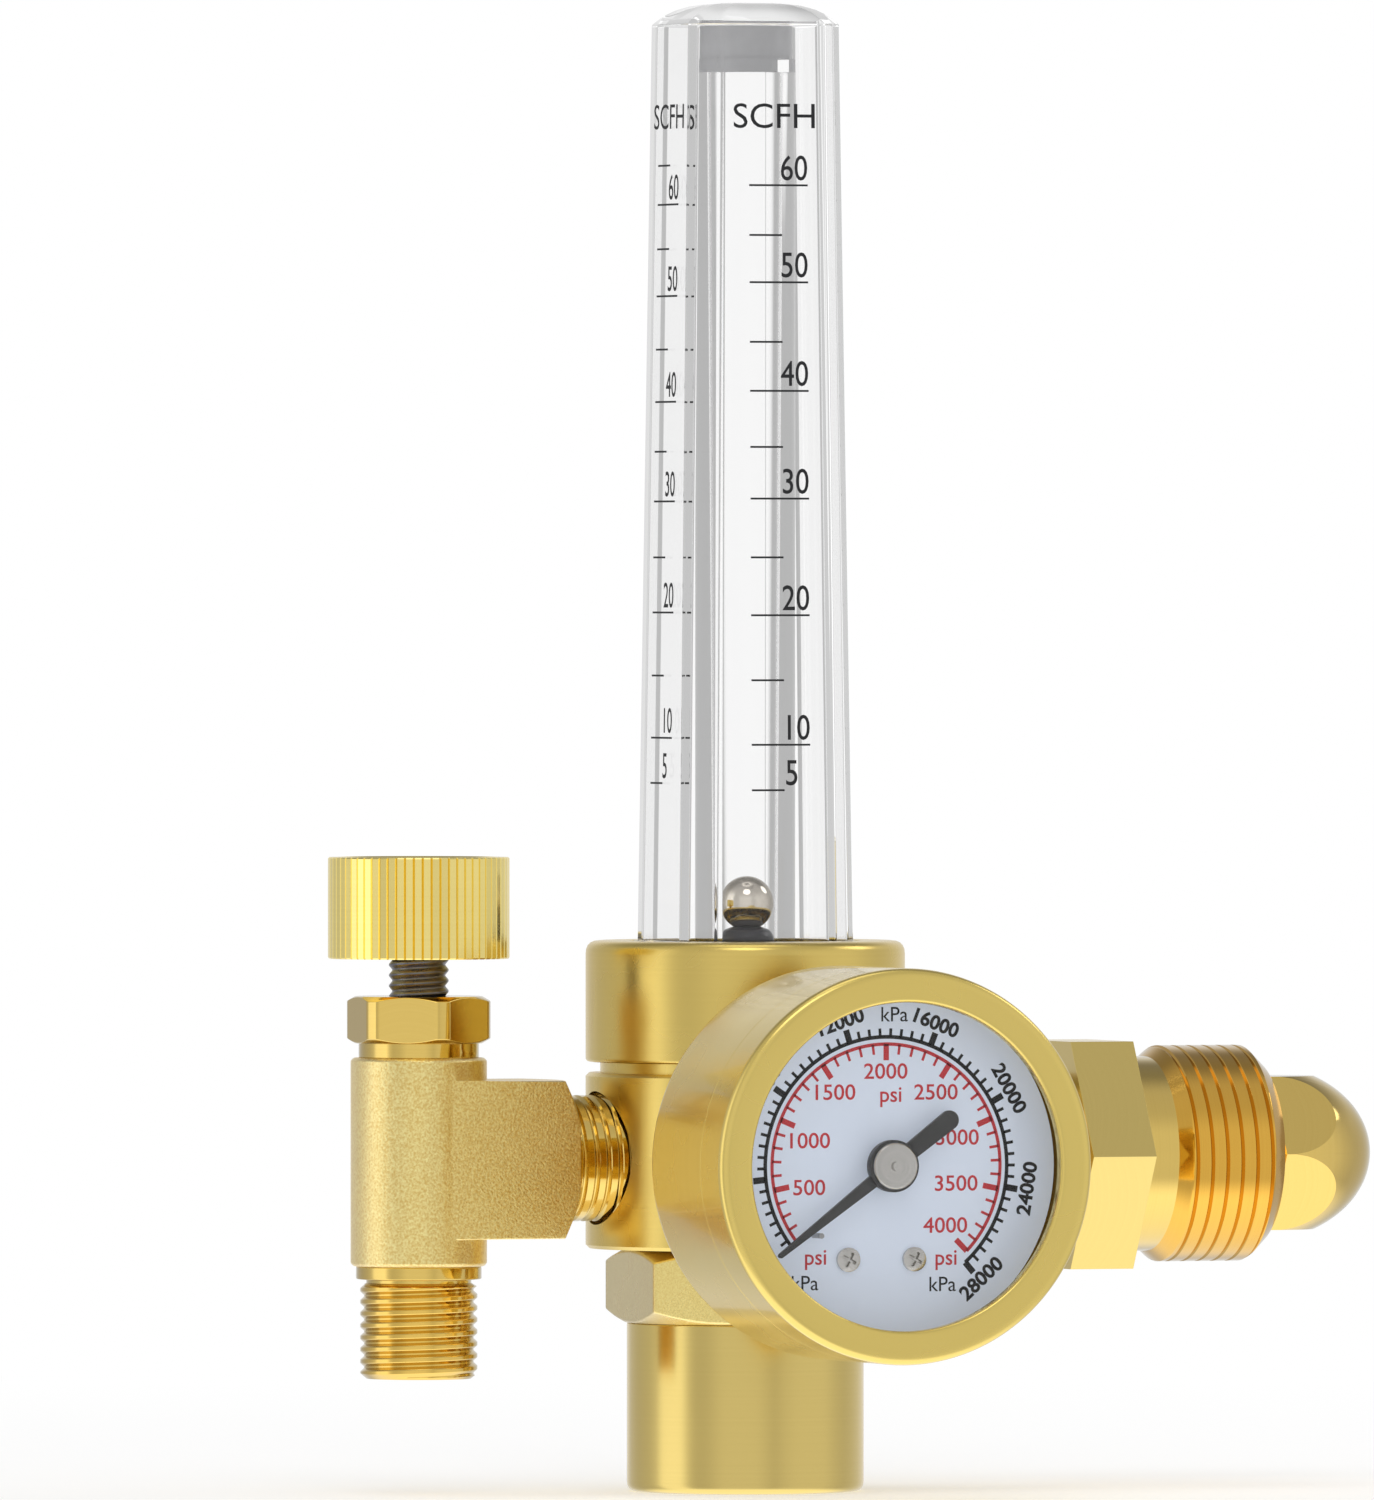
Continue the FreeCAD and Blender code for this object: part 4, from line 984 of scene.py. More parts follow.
@dataclass
class Collar:
    """Regulator body and the collar above it, with a groove between them."""

    radius: float = 17.997
    body_top: float = 47.2
    neck: float = 16.35
    low: float = 48.4
    top: float = 62.06
    top_edge: float = 1.5
    low_edge: float = 0.5
    recess: float = 13.02
    recess_floor: float = 54.0
    groove: float = 6.65
    groove_floor: float = 52.2
    pocket: float = 5.47
    pocket_floor: float = 50.0
    spigot: float = 11.0
    spigot_low: float = 44.1
    feed: float = 1.25

    def build(self, frame: dict) -> None:
        """Makes the collar and finishes the body.
        """
        section = [(self.feed, self.spigot_low, 0), (self.spigot, self.spigot_low, 0.2),
                   (self.spigot, self.body_top, 0), (self.neck, self.body_top, 0),
                   (self.neck, self.low, 0.1), (self.radius, self.low, self.low_edge),
                   (self.radius, self.top, self.top_edge), (self.recess, self.top, 0.15),
                   (self.recess, self.recess_floor, 0), (self.groove, self.recess_floor, 0),
                   (self.groove, self.groove_floor, 0), (self.pocket, self.groove_floor, 0),
                   (self.pocket, self.pocket_floor, 0), (self.feed, self.pocket_floor, 0)]
        add_surface("collar", turned(TUBE, section, 256), BODY_BRASS, nodes=["tube_collar"])
        dress(frame, "regulator_body", BODY_BRASS)
        dress(frame, "collar_gasket", FIBRE)


@dataclass
class Flowmeter:
    """Clear tapering cover with its scales, and the tube, cap, seat and ball inside."""

    foot_low: float = 54.0
    foot_radius: float = 13.0
    foot_edge: float = 0.15
    spigot_radius: float = 11.4
    spigot_top: float = 55.6
    low: float = 62.06
    high: float = 165.2
    top: float = 167.6
    ceiling: float = 165.06
    wall: float = 1.5
    flats_low: float = 20.8
    face_low: float = 14.15
    flats_high: float = 18.05
    face_high: float = 12.4
    corner_reach: float = 0.32
    corner_steps: int = 4
    flat_share: float = 0.3     # of the dome's width that is flat on top
    tube_radius: float = 5.45
    tube_low: float = 50.0
    tube_top: float = 159.8
    bore_low: float = 3.15
    bore_high: float = 3.75
    seat_top: float = 63.6
    seat_radius: float = 3.12
    seat_bore: float = 1.1
    seat_cone: float = 2.6      # radius and drop of the cone's lower end
    seat_cone_drop: float = 0.35
    seat_rim: float = 1.6
    ball_radius: float = 3.05
    ball_height: float = 66.25
    ink_width: float = 0.22
    number_height: float = 2.85
    number_rise: float = 1.95   # of a number's middle above its mark
    number_gap: float = 0.1     # of a number's end from where numbers end
    single_gap: float = 1.6     # the same for the number of one figure
    unit_height: float = 2.8
    unit_level: float = 154.8
    front_marks: dict[int, float] = field(default_factory=lambda: {
        60: 147.0, 55: 141.4, 50: 136.1, 45: 129.4, 40: 123.9, 35: 117.6, 30: 111.8,
        25: 105.2, 20: 98.7, 15: 91.4, 10: 84.15, 5: 79.05})
    side_marks: dict[int, float] = field(default_factory=lambda: {
        65: 149.3, 60: 144.9, 55: 139.9, 50: 134.6, 45: 128.6, 40: 122.7, 35: 117.1,
        30: 111.5, 25: 105.2, 20: 99.0, 15: 91.9, 10: 84.9, 5: 79.8})

    def ring(self, height: float, inset: float) -> np.ndarray:
        """The cover's eight-sided outline with rounded corners at a height.

        Half flats and half faces change evenly with the height; an inset moves each side in,
        and shortens it by twice the inset times tan of an eighth of a half turn.

        Args:
            height: above the bonnet's end.
            inset: how far inwards.

        Returns:
            Points of x and y, in order round the axis.
        """
        rise = (height - self.low) / (self.high - self.low)
        half_flats = (self.flats_low + rise * (self.flats_high - self.flats_low)) / 2 - inset
        half_face = (self.face_low + rise * (self.face_high - self.face_low)) / 2
        half_face -= inset * math.tan(math.pi / 8)
        corners = []
        for quarter in range(4):
            c, s = math.cos(quarter * math.pi / 2), math.sin(quarter * math.pi / 2)
            for x, y in ((half_flats, -half_face), (half_flats, half_face)):
                corners.append((x * c - y * s, x * s + y * c, self.corner_reach))
        return outline(corners, self.corner_steps)

    def cover_grid(self) -> np.ndarray:
        """The cover as one skin from its ceiling, down the inside, round the foot and up.

        The dome's rows are the upper outline shrunk to a share of its width, at the height
        shoulder + (top - shoulder) (1 - share^4) / (1 - least share^4).

        Returns:
            Points as rows by columns by three.
        """
        def level(ring: np.ndarray, height: float) -> np.ndarray:
            """A ring's points at a height."""
            return np.column_stack([ring, np.full(len(ring), height)])

        outer_low, outer_high = self.ring(self.low, 0), self.ring(self.high, 0)
        inner_low = self.ring(self.foot_low, self.wall)
        inner_high = self.ring(self.ceiling, self.wall)
        unit = outer_low / np.linalg.norm(outer_low, axis=1)[:, None]
        rows = [level(inner_high * 0, self.ceiling), level(inner_high, self.ceiling),
                level(inner_low, self.foot_low),
                level(unit * self.spigot_radius, self.foot_low),
                level(unit * self.spigot_radius, self.spigot_top),
                level(unit * self.foot_radius, self.spigot_top),
                level(unit * self.foot_radius, self.low - self.foot_edge),
                level(unit * (self.foot_radius - self.foot_edge), self.low),
                level(outer_low, self.low)]
        least = self.flat_share ** 4
        for share in (1, 0.97, 0.92, 0.85, 0.75, 0.6, 0.45, self.flat_share):
            rise = (1 - share ** 4) / (1 - least) * (self.top - self.high)
            rows.append(level(outer_high * share, self.high + rise))
        rows.append(level(outer_high * 0, self.top))
        return np.stack(rows)

    def ball_grid(self) -> np.ndarray:
        """A sphere: radius sin(polar angle), height centre - radius cos(polar angle)."""
        polar_angle = np.linspace(0, math.pi, 49)[:, None]
        return polar(TUBE, full_turn(96), self.ball_radius * np.sin(polar_angle),
                     self.ball_height - self.ball_radius * np.cos(polar_angle))

    def scale(self, name: str, marks: dict[int, float], face_turn: float,
              long_mark: tuple[float, float], short_end: float, numbers_at: float) -> None:
        """Prints one scale on a face of the cover: marks, numbers and the unit.

        Args:
            name: start of the pieces' names.
            marks: the flow and height of each mark.
            face_turn: direction of the face from -Y, in degrees about +Z.
            long_mark: where a numbered mark starts and ends, from the face's middle.
            short_end: where the others end.
            numbers_at: right-hand end of the numbers.
        """
        fall = (self.flats_low - self.flats_high) / 2 / (self.high - self.low)
        lean = math.atan(fall)
        base = Matrix.Translation((0, 0, self.low * MM))
        face = (Matrix.Rotation(math.radians(face_turn), 4, "Z") @ base
                @ Matrix.Translation((0, -self.flats_low / 2 * MM, 0))
                @ Matrix.Rotation(math.pi / 2 - lean, 4, "X"))
        flow = np.array(list(marks))
        height = (np.array(list(marks.values())) - self.low) / math.cos(lean)
        numbered = (flow % 10 == 0) & (flow > 0)
        end = np.where(numbered, long_mark[1], short_end)
        middle = np.stack([(long_mark[0] + end) / 2, height], -1)
        along = np.tile([1.0, 0.0], (len(flow), 1))
        strokes = bars(f"{name}_marks", middle, along, end - long_mark[0],
                       np.full(len(flow), self.ink_width), face)
        add_piece(f"{name}_marks", strokes, BLACK_INK)
        numbers = []
        for value, level in zip(flow, height):
            if value % 10 == 0 or value == 5:
                gap = self.single_gap if value < 10 else self.number_gap
                numbers.append(Label(str(value), self.number_height, numbers_at - gap,
                                     level + self.number_rise, align=1.0, squeeze=0.84,
                                     weight=0.004))
        unit = Label("SCFH", self.unit_height, x=0.1, y=self.unit_level - self.low,
                     squeeze=1.08)
        letters = lettering(f"{name}_numbers", [*numbers, unit], face)
        add_piece(f"{name}_numbers", letters, BLACK_INK)

    def build(self, frame: dict) -> None:
        """Makes the cover, the scales, the tube and the ball.
        """
        add_surface("cover", self.cover_grid(), COVER_CLEAR, nodes=["tube_cover"],
                    wrap_rows=False, soften=0.3)
        tube = [(self.bore_low, self.tube_low, 0), (self.tube_radius, self.tube_low, 0.2),
                (self.tube_radius, self.tube_top, 0.2), (self.bore_high, self.tube_top, 0.2),
                (self.bore_low, self.seat_top, 0)]
        add_surface("tube", turned(TUBE, tube, 96), TUBE_CLEAR, nodes=["flow_tube"])
        # the ball's finish darkens its outline with a painted dark reflection
        add_surface("ball", self.ball_grid(), BALL_STEEL, body="ball", nodes=["flow_ball"],
                    wrap_rows=False)
        self.scale("front_scale", self.front_marks, 0, (-2.93, 4.07), 0.97, 4.12)
        self.scale("side_scale", self.side_marks, -90, (-3.25, 3.55), 0.65, 3.6)
        # the cap's grey plastic has a painted highlight on its upward faces
        dress(frame, "tube_cap", GREY_PLASTIC)
        seat = [(self.seat_bore, self.tube_low, 0), (self.seat_radius, self.tube_low, 0.2),
                (self.seat_radius, self.seat_top - 1.2, 0.3),
                (self.seat_cone, self.seat_top - self.seat_cone_drop, 0.4),
                (self.seat_rim, self.seat_top, 0), (self.seat_bore, self.seat_top - 0.3, 0)]
        add_surface("seat", turned(TUBE, seat, 96), DARK_PLASTIC, nodes=["ball_seat"],
                    crease=50)
        dress(frame, "tube_seal", RUBBER)
        dress(frame, "cover_seal", RUBBER)


@dataclass(frozen=True)
class DialScale:
    """One printed scale of the dial: an arc with long and short ticks."""

    name: str
    ink: Finish
    per_psi: float            # its units for each psi
    first: float              # value at the first tick
    last: float
    step: float
    long_each: float          # ticks at multiples of this are long
    arc: float                # radius of the arc
    arc_width: float
    ends: tuple[float, float]         # radius at which long and short ticks end
    widths: tuple[float, float]       # of long and short ticks


@dataclass
class Gauge:
    """Pressure gauge: case, bezel, lens, printed dial, pointer and the works behind."""

    radius: float = 22.0
    back: float = 28.7
    front: float = 52.3
    back_edge: float = 1.6
    front_edge: float = 1.1
    seam: float = 45.5
    seam_gap: float = 0.03
    case_floor: float = 30.2
    case_front: float = 49.6
    stem: float = 4.92
    mouth: float = 21.1
    inner: float = 20.2
    window: float = 18.2
    lip: float = 1.2
    lens: float = 1.5
    lens_play: float = 0.02
    dial: float = 45.4
    print_gap: float = 0.005
    zero: float = 225.0         # direction of the scale's start, in degrees from +X
    sweep: float = 270.0
    psi_full: float = 4000.0
    psi_first: float = 110.0    # where the printed scales start
    psi: DialScale = DialScale("psi", RED_INK, 1.0, 200.0, 4000.0, 100.0, 500.0, 13.5, 0.38,
                               (11.7, 12.4), (0.64, 0.3))
    kpa: DialScale = DialScale("kpa", BLACK_INK, 6.894757, 1000.0, 28000.0, 500.0, 4000.0,
                               14.3, 0.42, (15.8, 15.25), (0.72, 0.33))
    numbers_ahead: float = 0.9  # degrees by which the outer numbers stand before their ticks
    numbers_radius: float = 16.9
    numbers_height: float = 1.72
    numbers_weight: float = 0.03
    psi_height: float = 1.75
    psi_weight: float = 0.008
    psi_unit_height: float = 2.2
    kpa_unit_height: float = 1.62
    psi_numbers: tuple[tuple[int, float, float], ...] = (
        (500, -9.1, -2.35), (1000, -9.0, 2.85), (1500, -6.0, 8.2), (2000, -0.05, 10.5),
        (2500, 5.9, 8.15), (3000, 8.45, 3.1), (3500, 8.3, -2.0), (4000, 7.0, -6.65))
    psi_units: tuple[tuple[float, float], ...] = ((0.55, 7.6), (-8.35, -10.4), (7.1, -10.55))
    kpa_units: tuple[tuple[float, float], ...] = ((1.0, 16.8), (-9.6, -12.95), (6.7, -13.2))
    bush_radius: float = 2.6
    bush_low: float = 48.05
    bush_high: float = 48.7
    pit: float = 0.17           # of the small hole in the bush
    pit_floor: float = 0.15
    pit_depth: float = 0.25
    screws: tuple[float, float] = (-4.54, 3.26)
    screw_drop: float = 10.4
    screw_radius: float = 1.35
    screw_height: float = 0.7
    screw_fall: float = 0.28    # of the dome from middle to edge
    slot_half: float = 0.17
    slot_reach: float = 0.85
    slot_depth: float = 0.4

    def direction(self, psi: np.ndarray | float) -> np.ndarray | float:
        """Angle of a pressure on the dial, in degrees from +X: zero less its share of sweep."""
        return self.zero - self.sweep * psi / self.psi_full

    def plane(self) -> Matrix:
        """The move from the dial's printed plane to the frame."""
        return GAUGE.matrix() @ Matrix.Translation((0, 0, (self.dial + self.print_gap) * MM))

    def print_scale(self, scale: DialScale) -> None:
        """Prints a scale's ticks, radial strokes that start at its arc, and the arc itself.

        Args:
            scale: the scale.
        """
        value = np.arange(scale.first, scale.last + 1, scale.step)
        is_long = value % scale.long_each == 0
        end, width = (np.where(is_long, *pair) for pair in (scale.ends, scale.widths))
        angle = np.radians(self.direction(value / scale.per_psi))
        along = np.stack([np.cos(angle), np.sin(angle)], -1)
        middle = along * ((scale.arc + end) / 2)[:, None]
        name = f"{scale.name}_ticks"
        mesh = bars(name, middle, along, np.abs(end - scale.arc), width, self.plane())
        add_piece(name, mesh, scale.ink)
        arc = band(scale.arc, scale.arc_width, self.direction(self.psi_first),
                   self.direction(scale.last / scale.per_psi), self.dial + self.print_gap)
        add_surface(f"{scale.name}_arc", arc, scale.ink, wrap_rows=False)

    def arc_numbers(self, scale: DialScale) -> list[Label]:
        """The numbers of a scale's long ticks, along its arc.

        Each has its feet towards the dial's middle above the axis, and away from it below.

        Args:
            scale: the scale.

        Returns:
            The labels.
        """
        labels = []
        step = int(scale.long_each)
        for value in range(step, int(scale.last) + 1, step):
            degrees = self.direction(value / scale.per_psi) + self.numbers_ahead
            angle = math.radians(degrees)
            turn = degrees - 90 if math.sin(angle) > 0 else degrees + 90
            labels.append(Label(str(value), self.numbers_height,
                                self.numbers_radius * math.cos(angle),
                                self.numbers_radius * math.sin(angle), turn, squeeze=1.06,
                                weight=self.numbers_weight))
        return labels

    def print_dial(self) -> None:
        """Prints both scales, their numbers and the units on the dial."""
        for scale in (self.psi, self.kpa):
            self.print_scale(scale)
        red = [Label(str(value), self.psi_height, x, y, squeeze=1.08, weight=self.psi_weight)
               for value, x, y in self.psi_numbers]
        red += [Label("psi", self.psi_unit_height, x, y, weight=self.psi_weight)
                for x, y in self.psi_units]
        black = self.arc_numbers(self.kpa)
        black += [Label("kPa", self.kpa_unit_height, x, y) for x, y in self.kpa_units]
        for name, labels, ink in (("psi_numbers", red, RED_INK),
                                  ("kpa_numbers", black, BLACK_INK)):
            add_piece(name, lettering(name, labels, self.plane()), ink)

    def screw_grid(self, x: float) -> np.ndarray:
        """A domed screw head with a cross recess.

        Height falls with the square of the radius, less the recess where the point is within
        the cross: the smaller of |x| and |y| under half the slot, and radius under its reach.

        Args:
            x: the screw's place across the dial.

        Returns:
            Points as rows by columns by three.
        """
        angle = full_turn(128)
        radius = np.concatenate([[1.0, 1.0], np.linspace(0.97, 0, 40)])[:, None]
        radius = radius * self.screw_radius
        u, v = radius * np.cos(angle + 0.5), radius * np.sin(angle + 0.5)
        arm = np.minimum(np.abs(u), np.abs(v))
        across = np.clip((self.slot_half - arm) / 0.06, 0, 1)
        within = np.clip((self.slot_reach - radius) / 0.1, 0, 1)
        dome = self.screw_fall * (radius / self.screw_radius) ** 2
        height = self.dial + self.screw_height - dome
        height = height - self.slot_depth * (across * within)
        height[0] = self.dial
        local = np.stack([radius * np.cos(angle) + x,
                          radius * np.sin(angle) - self.screw_drop, height], -1)
        return GAUGE.place(local)

    def build(self, frame: dict) -> None:
        """Makes the case, bezel, lens, print, screws and pointer, and finishes the works.
        """
        case = [(self.stem, self.back, 0), (self.radius, self.back, self.back_edge),
                (self.radius, self.seam - self.seam_gap, 0.06),
                (self.mouth, self.seam - self.seam_gap, 0),
                (self.mouth, self.case_front, 0), (self.inner, self.case_front, 0),
                (self.inner, self.case_floor, 2.4), (self.stem, self.case_floor, 0)]
        add_surface("case", turned(GAUGE, case, 256), GILT_STEEL, GAUGE, nodes=["gauge_case"])
        bezel = [(self.mouth, self.seam, 0), (self.radius, self.seam, 0.06),
                 (self.radius, self.front, self.front_edge), (self.window, self.front, 0.55),
                 (self.window, self.front - self.lip, 0),
                 (self.mouth, self.front - self.lip, 0)]
        add_surface("bezel", turned(GAUGE, bezel, 256), GILT_STEEL, GAUGE,
                    nodes=["gauge_bezel"])
        edge = self.mouth - self.lens_play
        pane = [(0, self.case_front, 0), (edge, self.case_front, 0),
                (edge, self.case_front + self.lens, 0), (0, self.case_front + self.lens, 0)]
        add_surface("lens", turned(GAUGE, pane, 128), LENS_CLEAR, GAUGE, nodes=["gauge_lens"],
                    wrap_rows=False)
        self.print_dial()
        for side, x in zip(("left", "right"), self.screws):
            add_surface(f"dial_screw_{side}", self.screw_grid(x), NICKEL, GAUGE,
                        nodes=["dial_screws"], wrap_rows=False)
        bush = [(0, self.bush_low, 0), (self.bush_radius, self.bush_low, 0),
                (self.bush_radius, self.bush_high, 0.35), (self.pit, self.bush_high, 0.03),
                (self.pit_floor, self.bush_high - self.pit_depth, 0),
                (0, self.bush_high - self.pit_depth, 0)]
        add_surface("bush", turned(GAUGE, bush, 96), NICKEL, GAUGE, body="pointer",
                    nodes=["pointer_bush"], wrap_rows=False)
        # the dial's enamel glows with painted light
        dress(frame, "gauge_dial", DIAL_ENAMEL)
        dress(frame, "pointer", POINTER_BLACK, soften=0.07)
        for node, finish in (("pointer_arbor", NICKEL), ("stop_pin", DRAWN_STEEL),
                             ("bourdon_tube", ROLLED_BRONZE), ("gauge_socket", BRIGHT_BRASS),
                             ("movement_frame", BRIGHT_BRASS)):
            dress(frame, node, finish, GAUGE)


@dataclass
class OutletValve:
    """Cast tee with its packing nut, stem, knob, side nipple and threaded outlet."""

    top: float = 49.1
    bottom: float = 25.7
    neck_radius: float = 6.75
    neck_top: float = 50.7
    gland_radius: float = 5.6
    skirt_low: float = 43.4
    nut_flats: float = 14.7
    nut_top: float = 56.0
    nut_bore: float = 3.43
    stem_radius: float = 3.35
    stem_pitch: float = 1.18
    nut_corner: float = 8.1
    stem_low: float = 46.0
    rod_radius: float = 2.0
    rod_low: float = 38.4
    socket_radius: float = 1.05
    knob_low: float = 60.2
    knob_top: float = 71.6
    knob_radius: float = 10.19
    flutes: int = 64
    flute_depth: float = 0.25
    groove_share: float = 0.26  # of a flute's step
    knob_edge: float = 0.15
    under_rim: float = 1.0      # widths of the flat rims below and on top
    top_rim: float = 1.2
    dish_rim: float = 1.5       # and of the slope down to the dished top
    dish: float = 0.2
    knob_bore_top: float = 68.5
    outlet_low: float = 13.1
    outlet_radius: float = 6.58
    outlet_pitch: float = 1.337
    thread_top: float = 23.85
    relief_radius: float = 5.9
    shoulder_low: float = 24.25
    shoulder_radius: float = 7.05
    spigot_top: float = 30.8
    bore: float = 1.95
    nipple_radius: float = 7.1
    nipple_pitch: float = 1.41
    nipple_low: float = 12.45
    branch_end: float = 22.3
    nipple_end: float = 27.0
    nipple_spigot: float = 5.5

    def knob_grid(self) -> np.ndarray:
        """The knob: flat ribs with V-shaped grooves between them.

        Each flute has three columns: its root, and both edges of its rib, so a rib's face is
        flat. The ends are lightly chamfered and the underside has the stem's bore.

        Returns:
            Points as rows by columns by three.
        """
        step = 2 * math.pi / self.flutes
        gap = self.groove_share / 2 * step
        angle = np.arange(self.flutes)[:, None] * step + np.array([0, gap, step - gap])
        angle = angle.ravel()
        full = np.tile([self.knob_radius - self.flute_depth, self.knob_radius,
                        self.knob_radius], self.flutes)
        flat = np.zeros_like(full)
        edge = self.knob_edge
        end = np.minimum(full, self.knob_radius - edge)
        rows = [(flat + self.stem_radius, self.knob_bore_top),
                (flat + self.stem_radius, self.knob_low),
                (flat + self.knob_radius - self.under_rim, self.knob_low),
                (end, self.knob_low), (full, self.knob_low + edge),
                (full, self.knob_top - edge), (end, self.knob_top),
                (flat + self.knob_radius - self.top_rim, self.knob_top),
                (flat + self.knob_radius - self.dish_rim, self.knob_top - self.dish),
                (flat, self.knob_top - self.dish), (flat, self.knob_bore_top)]
        radius = np.stack([row[0] for row in rows])
        height = np.array([row[1] for row in rows])[:, None]
        return polar(VALVE, angle, radius, height)

    def build(self, frame: dict) -> None:
        """Makes the threads, the nut and the knob, and finishes the casting.
        """
        dress(frame, "valve_body", CAST_BRASS, VALVE, soften=0.25)
        grid = hexagon(VALVE, self.nut_flats, self.neck_top, self.nut_top, self.nut_bore, -60,
                       corner=self.nut_corner)
        add_surface("gland_hexagon", grid, BRIGHT_BRASS, VALVE, nodes=["packing_nut"],
                    soften=0.08)
        neck = [(self.nut_bore, self.skirt_low, 0), (self.gland_radius, self.skirt_low, 0.2),
                (self.gland_radius, self.top, 0), (self.neck_radius, self.top, 0.1),
                (self.neck_radius, self.neck_top, 0), (self.nut_bore, self.neck_top, 0)]
        add_surface("gland_neck", turned(VALVE, neck), BRIGHT_BRASS, VALVE,
                    nodes=["packing_nut"])
        stem = Thread(self.stem_radius, self.stem_pitch, depth=0.36, low=self.stem_low,
                      high=self.knob_bore_top, low_radius=2.7, high_radius=2.8,
                      bore=self.socket_radius)
        add_surface("stem_thread", stem.surface(VALVE, 96), BLACK_STEEL, VALVE, "spindle",
                    ["valve_stem"], wrap_columns=False)
        rod = [(self.socket_radius, self.rod_low, 0), (self.rod_radius, self.rod_low, 0.1),
               (self.rod_radius, self.stem_low, 0), (self.socket_radius, self.stem_low, 0)]
        add_surface("stem_rod", turned(VALVE, rod, 64), BLACK_STEEL, VALVE, "spindle",
                    ["valve_stem"])
        add_surface("knob", self.knob_grid(), FLUTED_BRASS, VALVE, "spindle", ["valve_knob"],
                    wrap_rows=False, crease=24)
        thread = Thread(self.outlet_radius, self.outlet_pitch, depth=0.42,
                        low=self.outlet_low, high=self.thread_top,
                        low_radius=self.outlet_radius - 0.7, high_radius=self.relief_radius,
                        bore=self.bore, low_slope=1.2, high_slope=1.6, crest=0.3, root=0.14)
        add_surface("outlet_thread", thread.surface(VALVE), HOSE_BRASS, VALVE,
                    nodes=["outlet_adapter"], wrap_columns=False)
        shoulder = [(self.bore, self.thread_top, 0), (self.relief_radius, self.thread_top, 0),
                    (self.relief_radius, self.shoulder_low, 0.15),
                    (self.shoulder_radius, self.shoulder_low, 0.2),
                    (self.shoulder_radius, self.bottom, 0.2),
                    (self.gland_radius, self.bottom, 0),
                    (self.gland_radius, self.spigot_top, 0), (self.bore, self.spigot_top, 0)]
        add_surface("outlet_shoulder", turned(VALVE, shoulder), BRIGHT_BRASS, VALVE,
                    nodes=["outlet_adapter"])
        nipple = Thread(self.nipple_radius, self.nipple_pitch, depth=0.34,
                        low=self.nipple_low, high=self.branch_end, low_radius=6.4,
                        high_radius=6.4, bore=self.bore, high_slope=1.4, crest=0.5)
        add_surface("nipple_thread", nipple.surface(SIDE), BRIGHT_BRASS, SIDE,
                    nodes=["side_nipple"], wrap_columns=False)
        spigot = [(self.bore, self.branch_end, 0), (self.nipple_spigot, self.branch_end, 0),
                  (self.nipple_spigot, self.nipple_end, 0.2), (self.bore, self.nipple_end, 0)]
        add_surface("nipple_spigot", turned(SIDE, spigot, 64), BRIGHT_BRASS, SIDE,
                    nodes=["side_nipple"])
        dress(frame, "packing_ring", DARK_PLASTIC)
        dress(frame, "valve_needle", DRAWN_STEEL, VALVE)


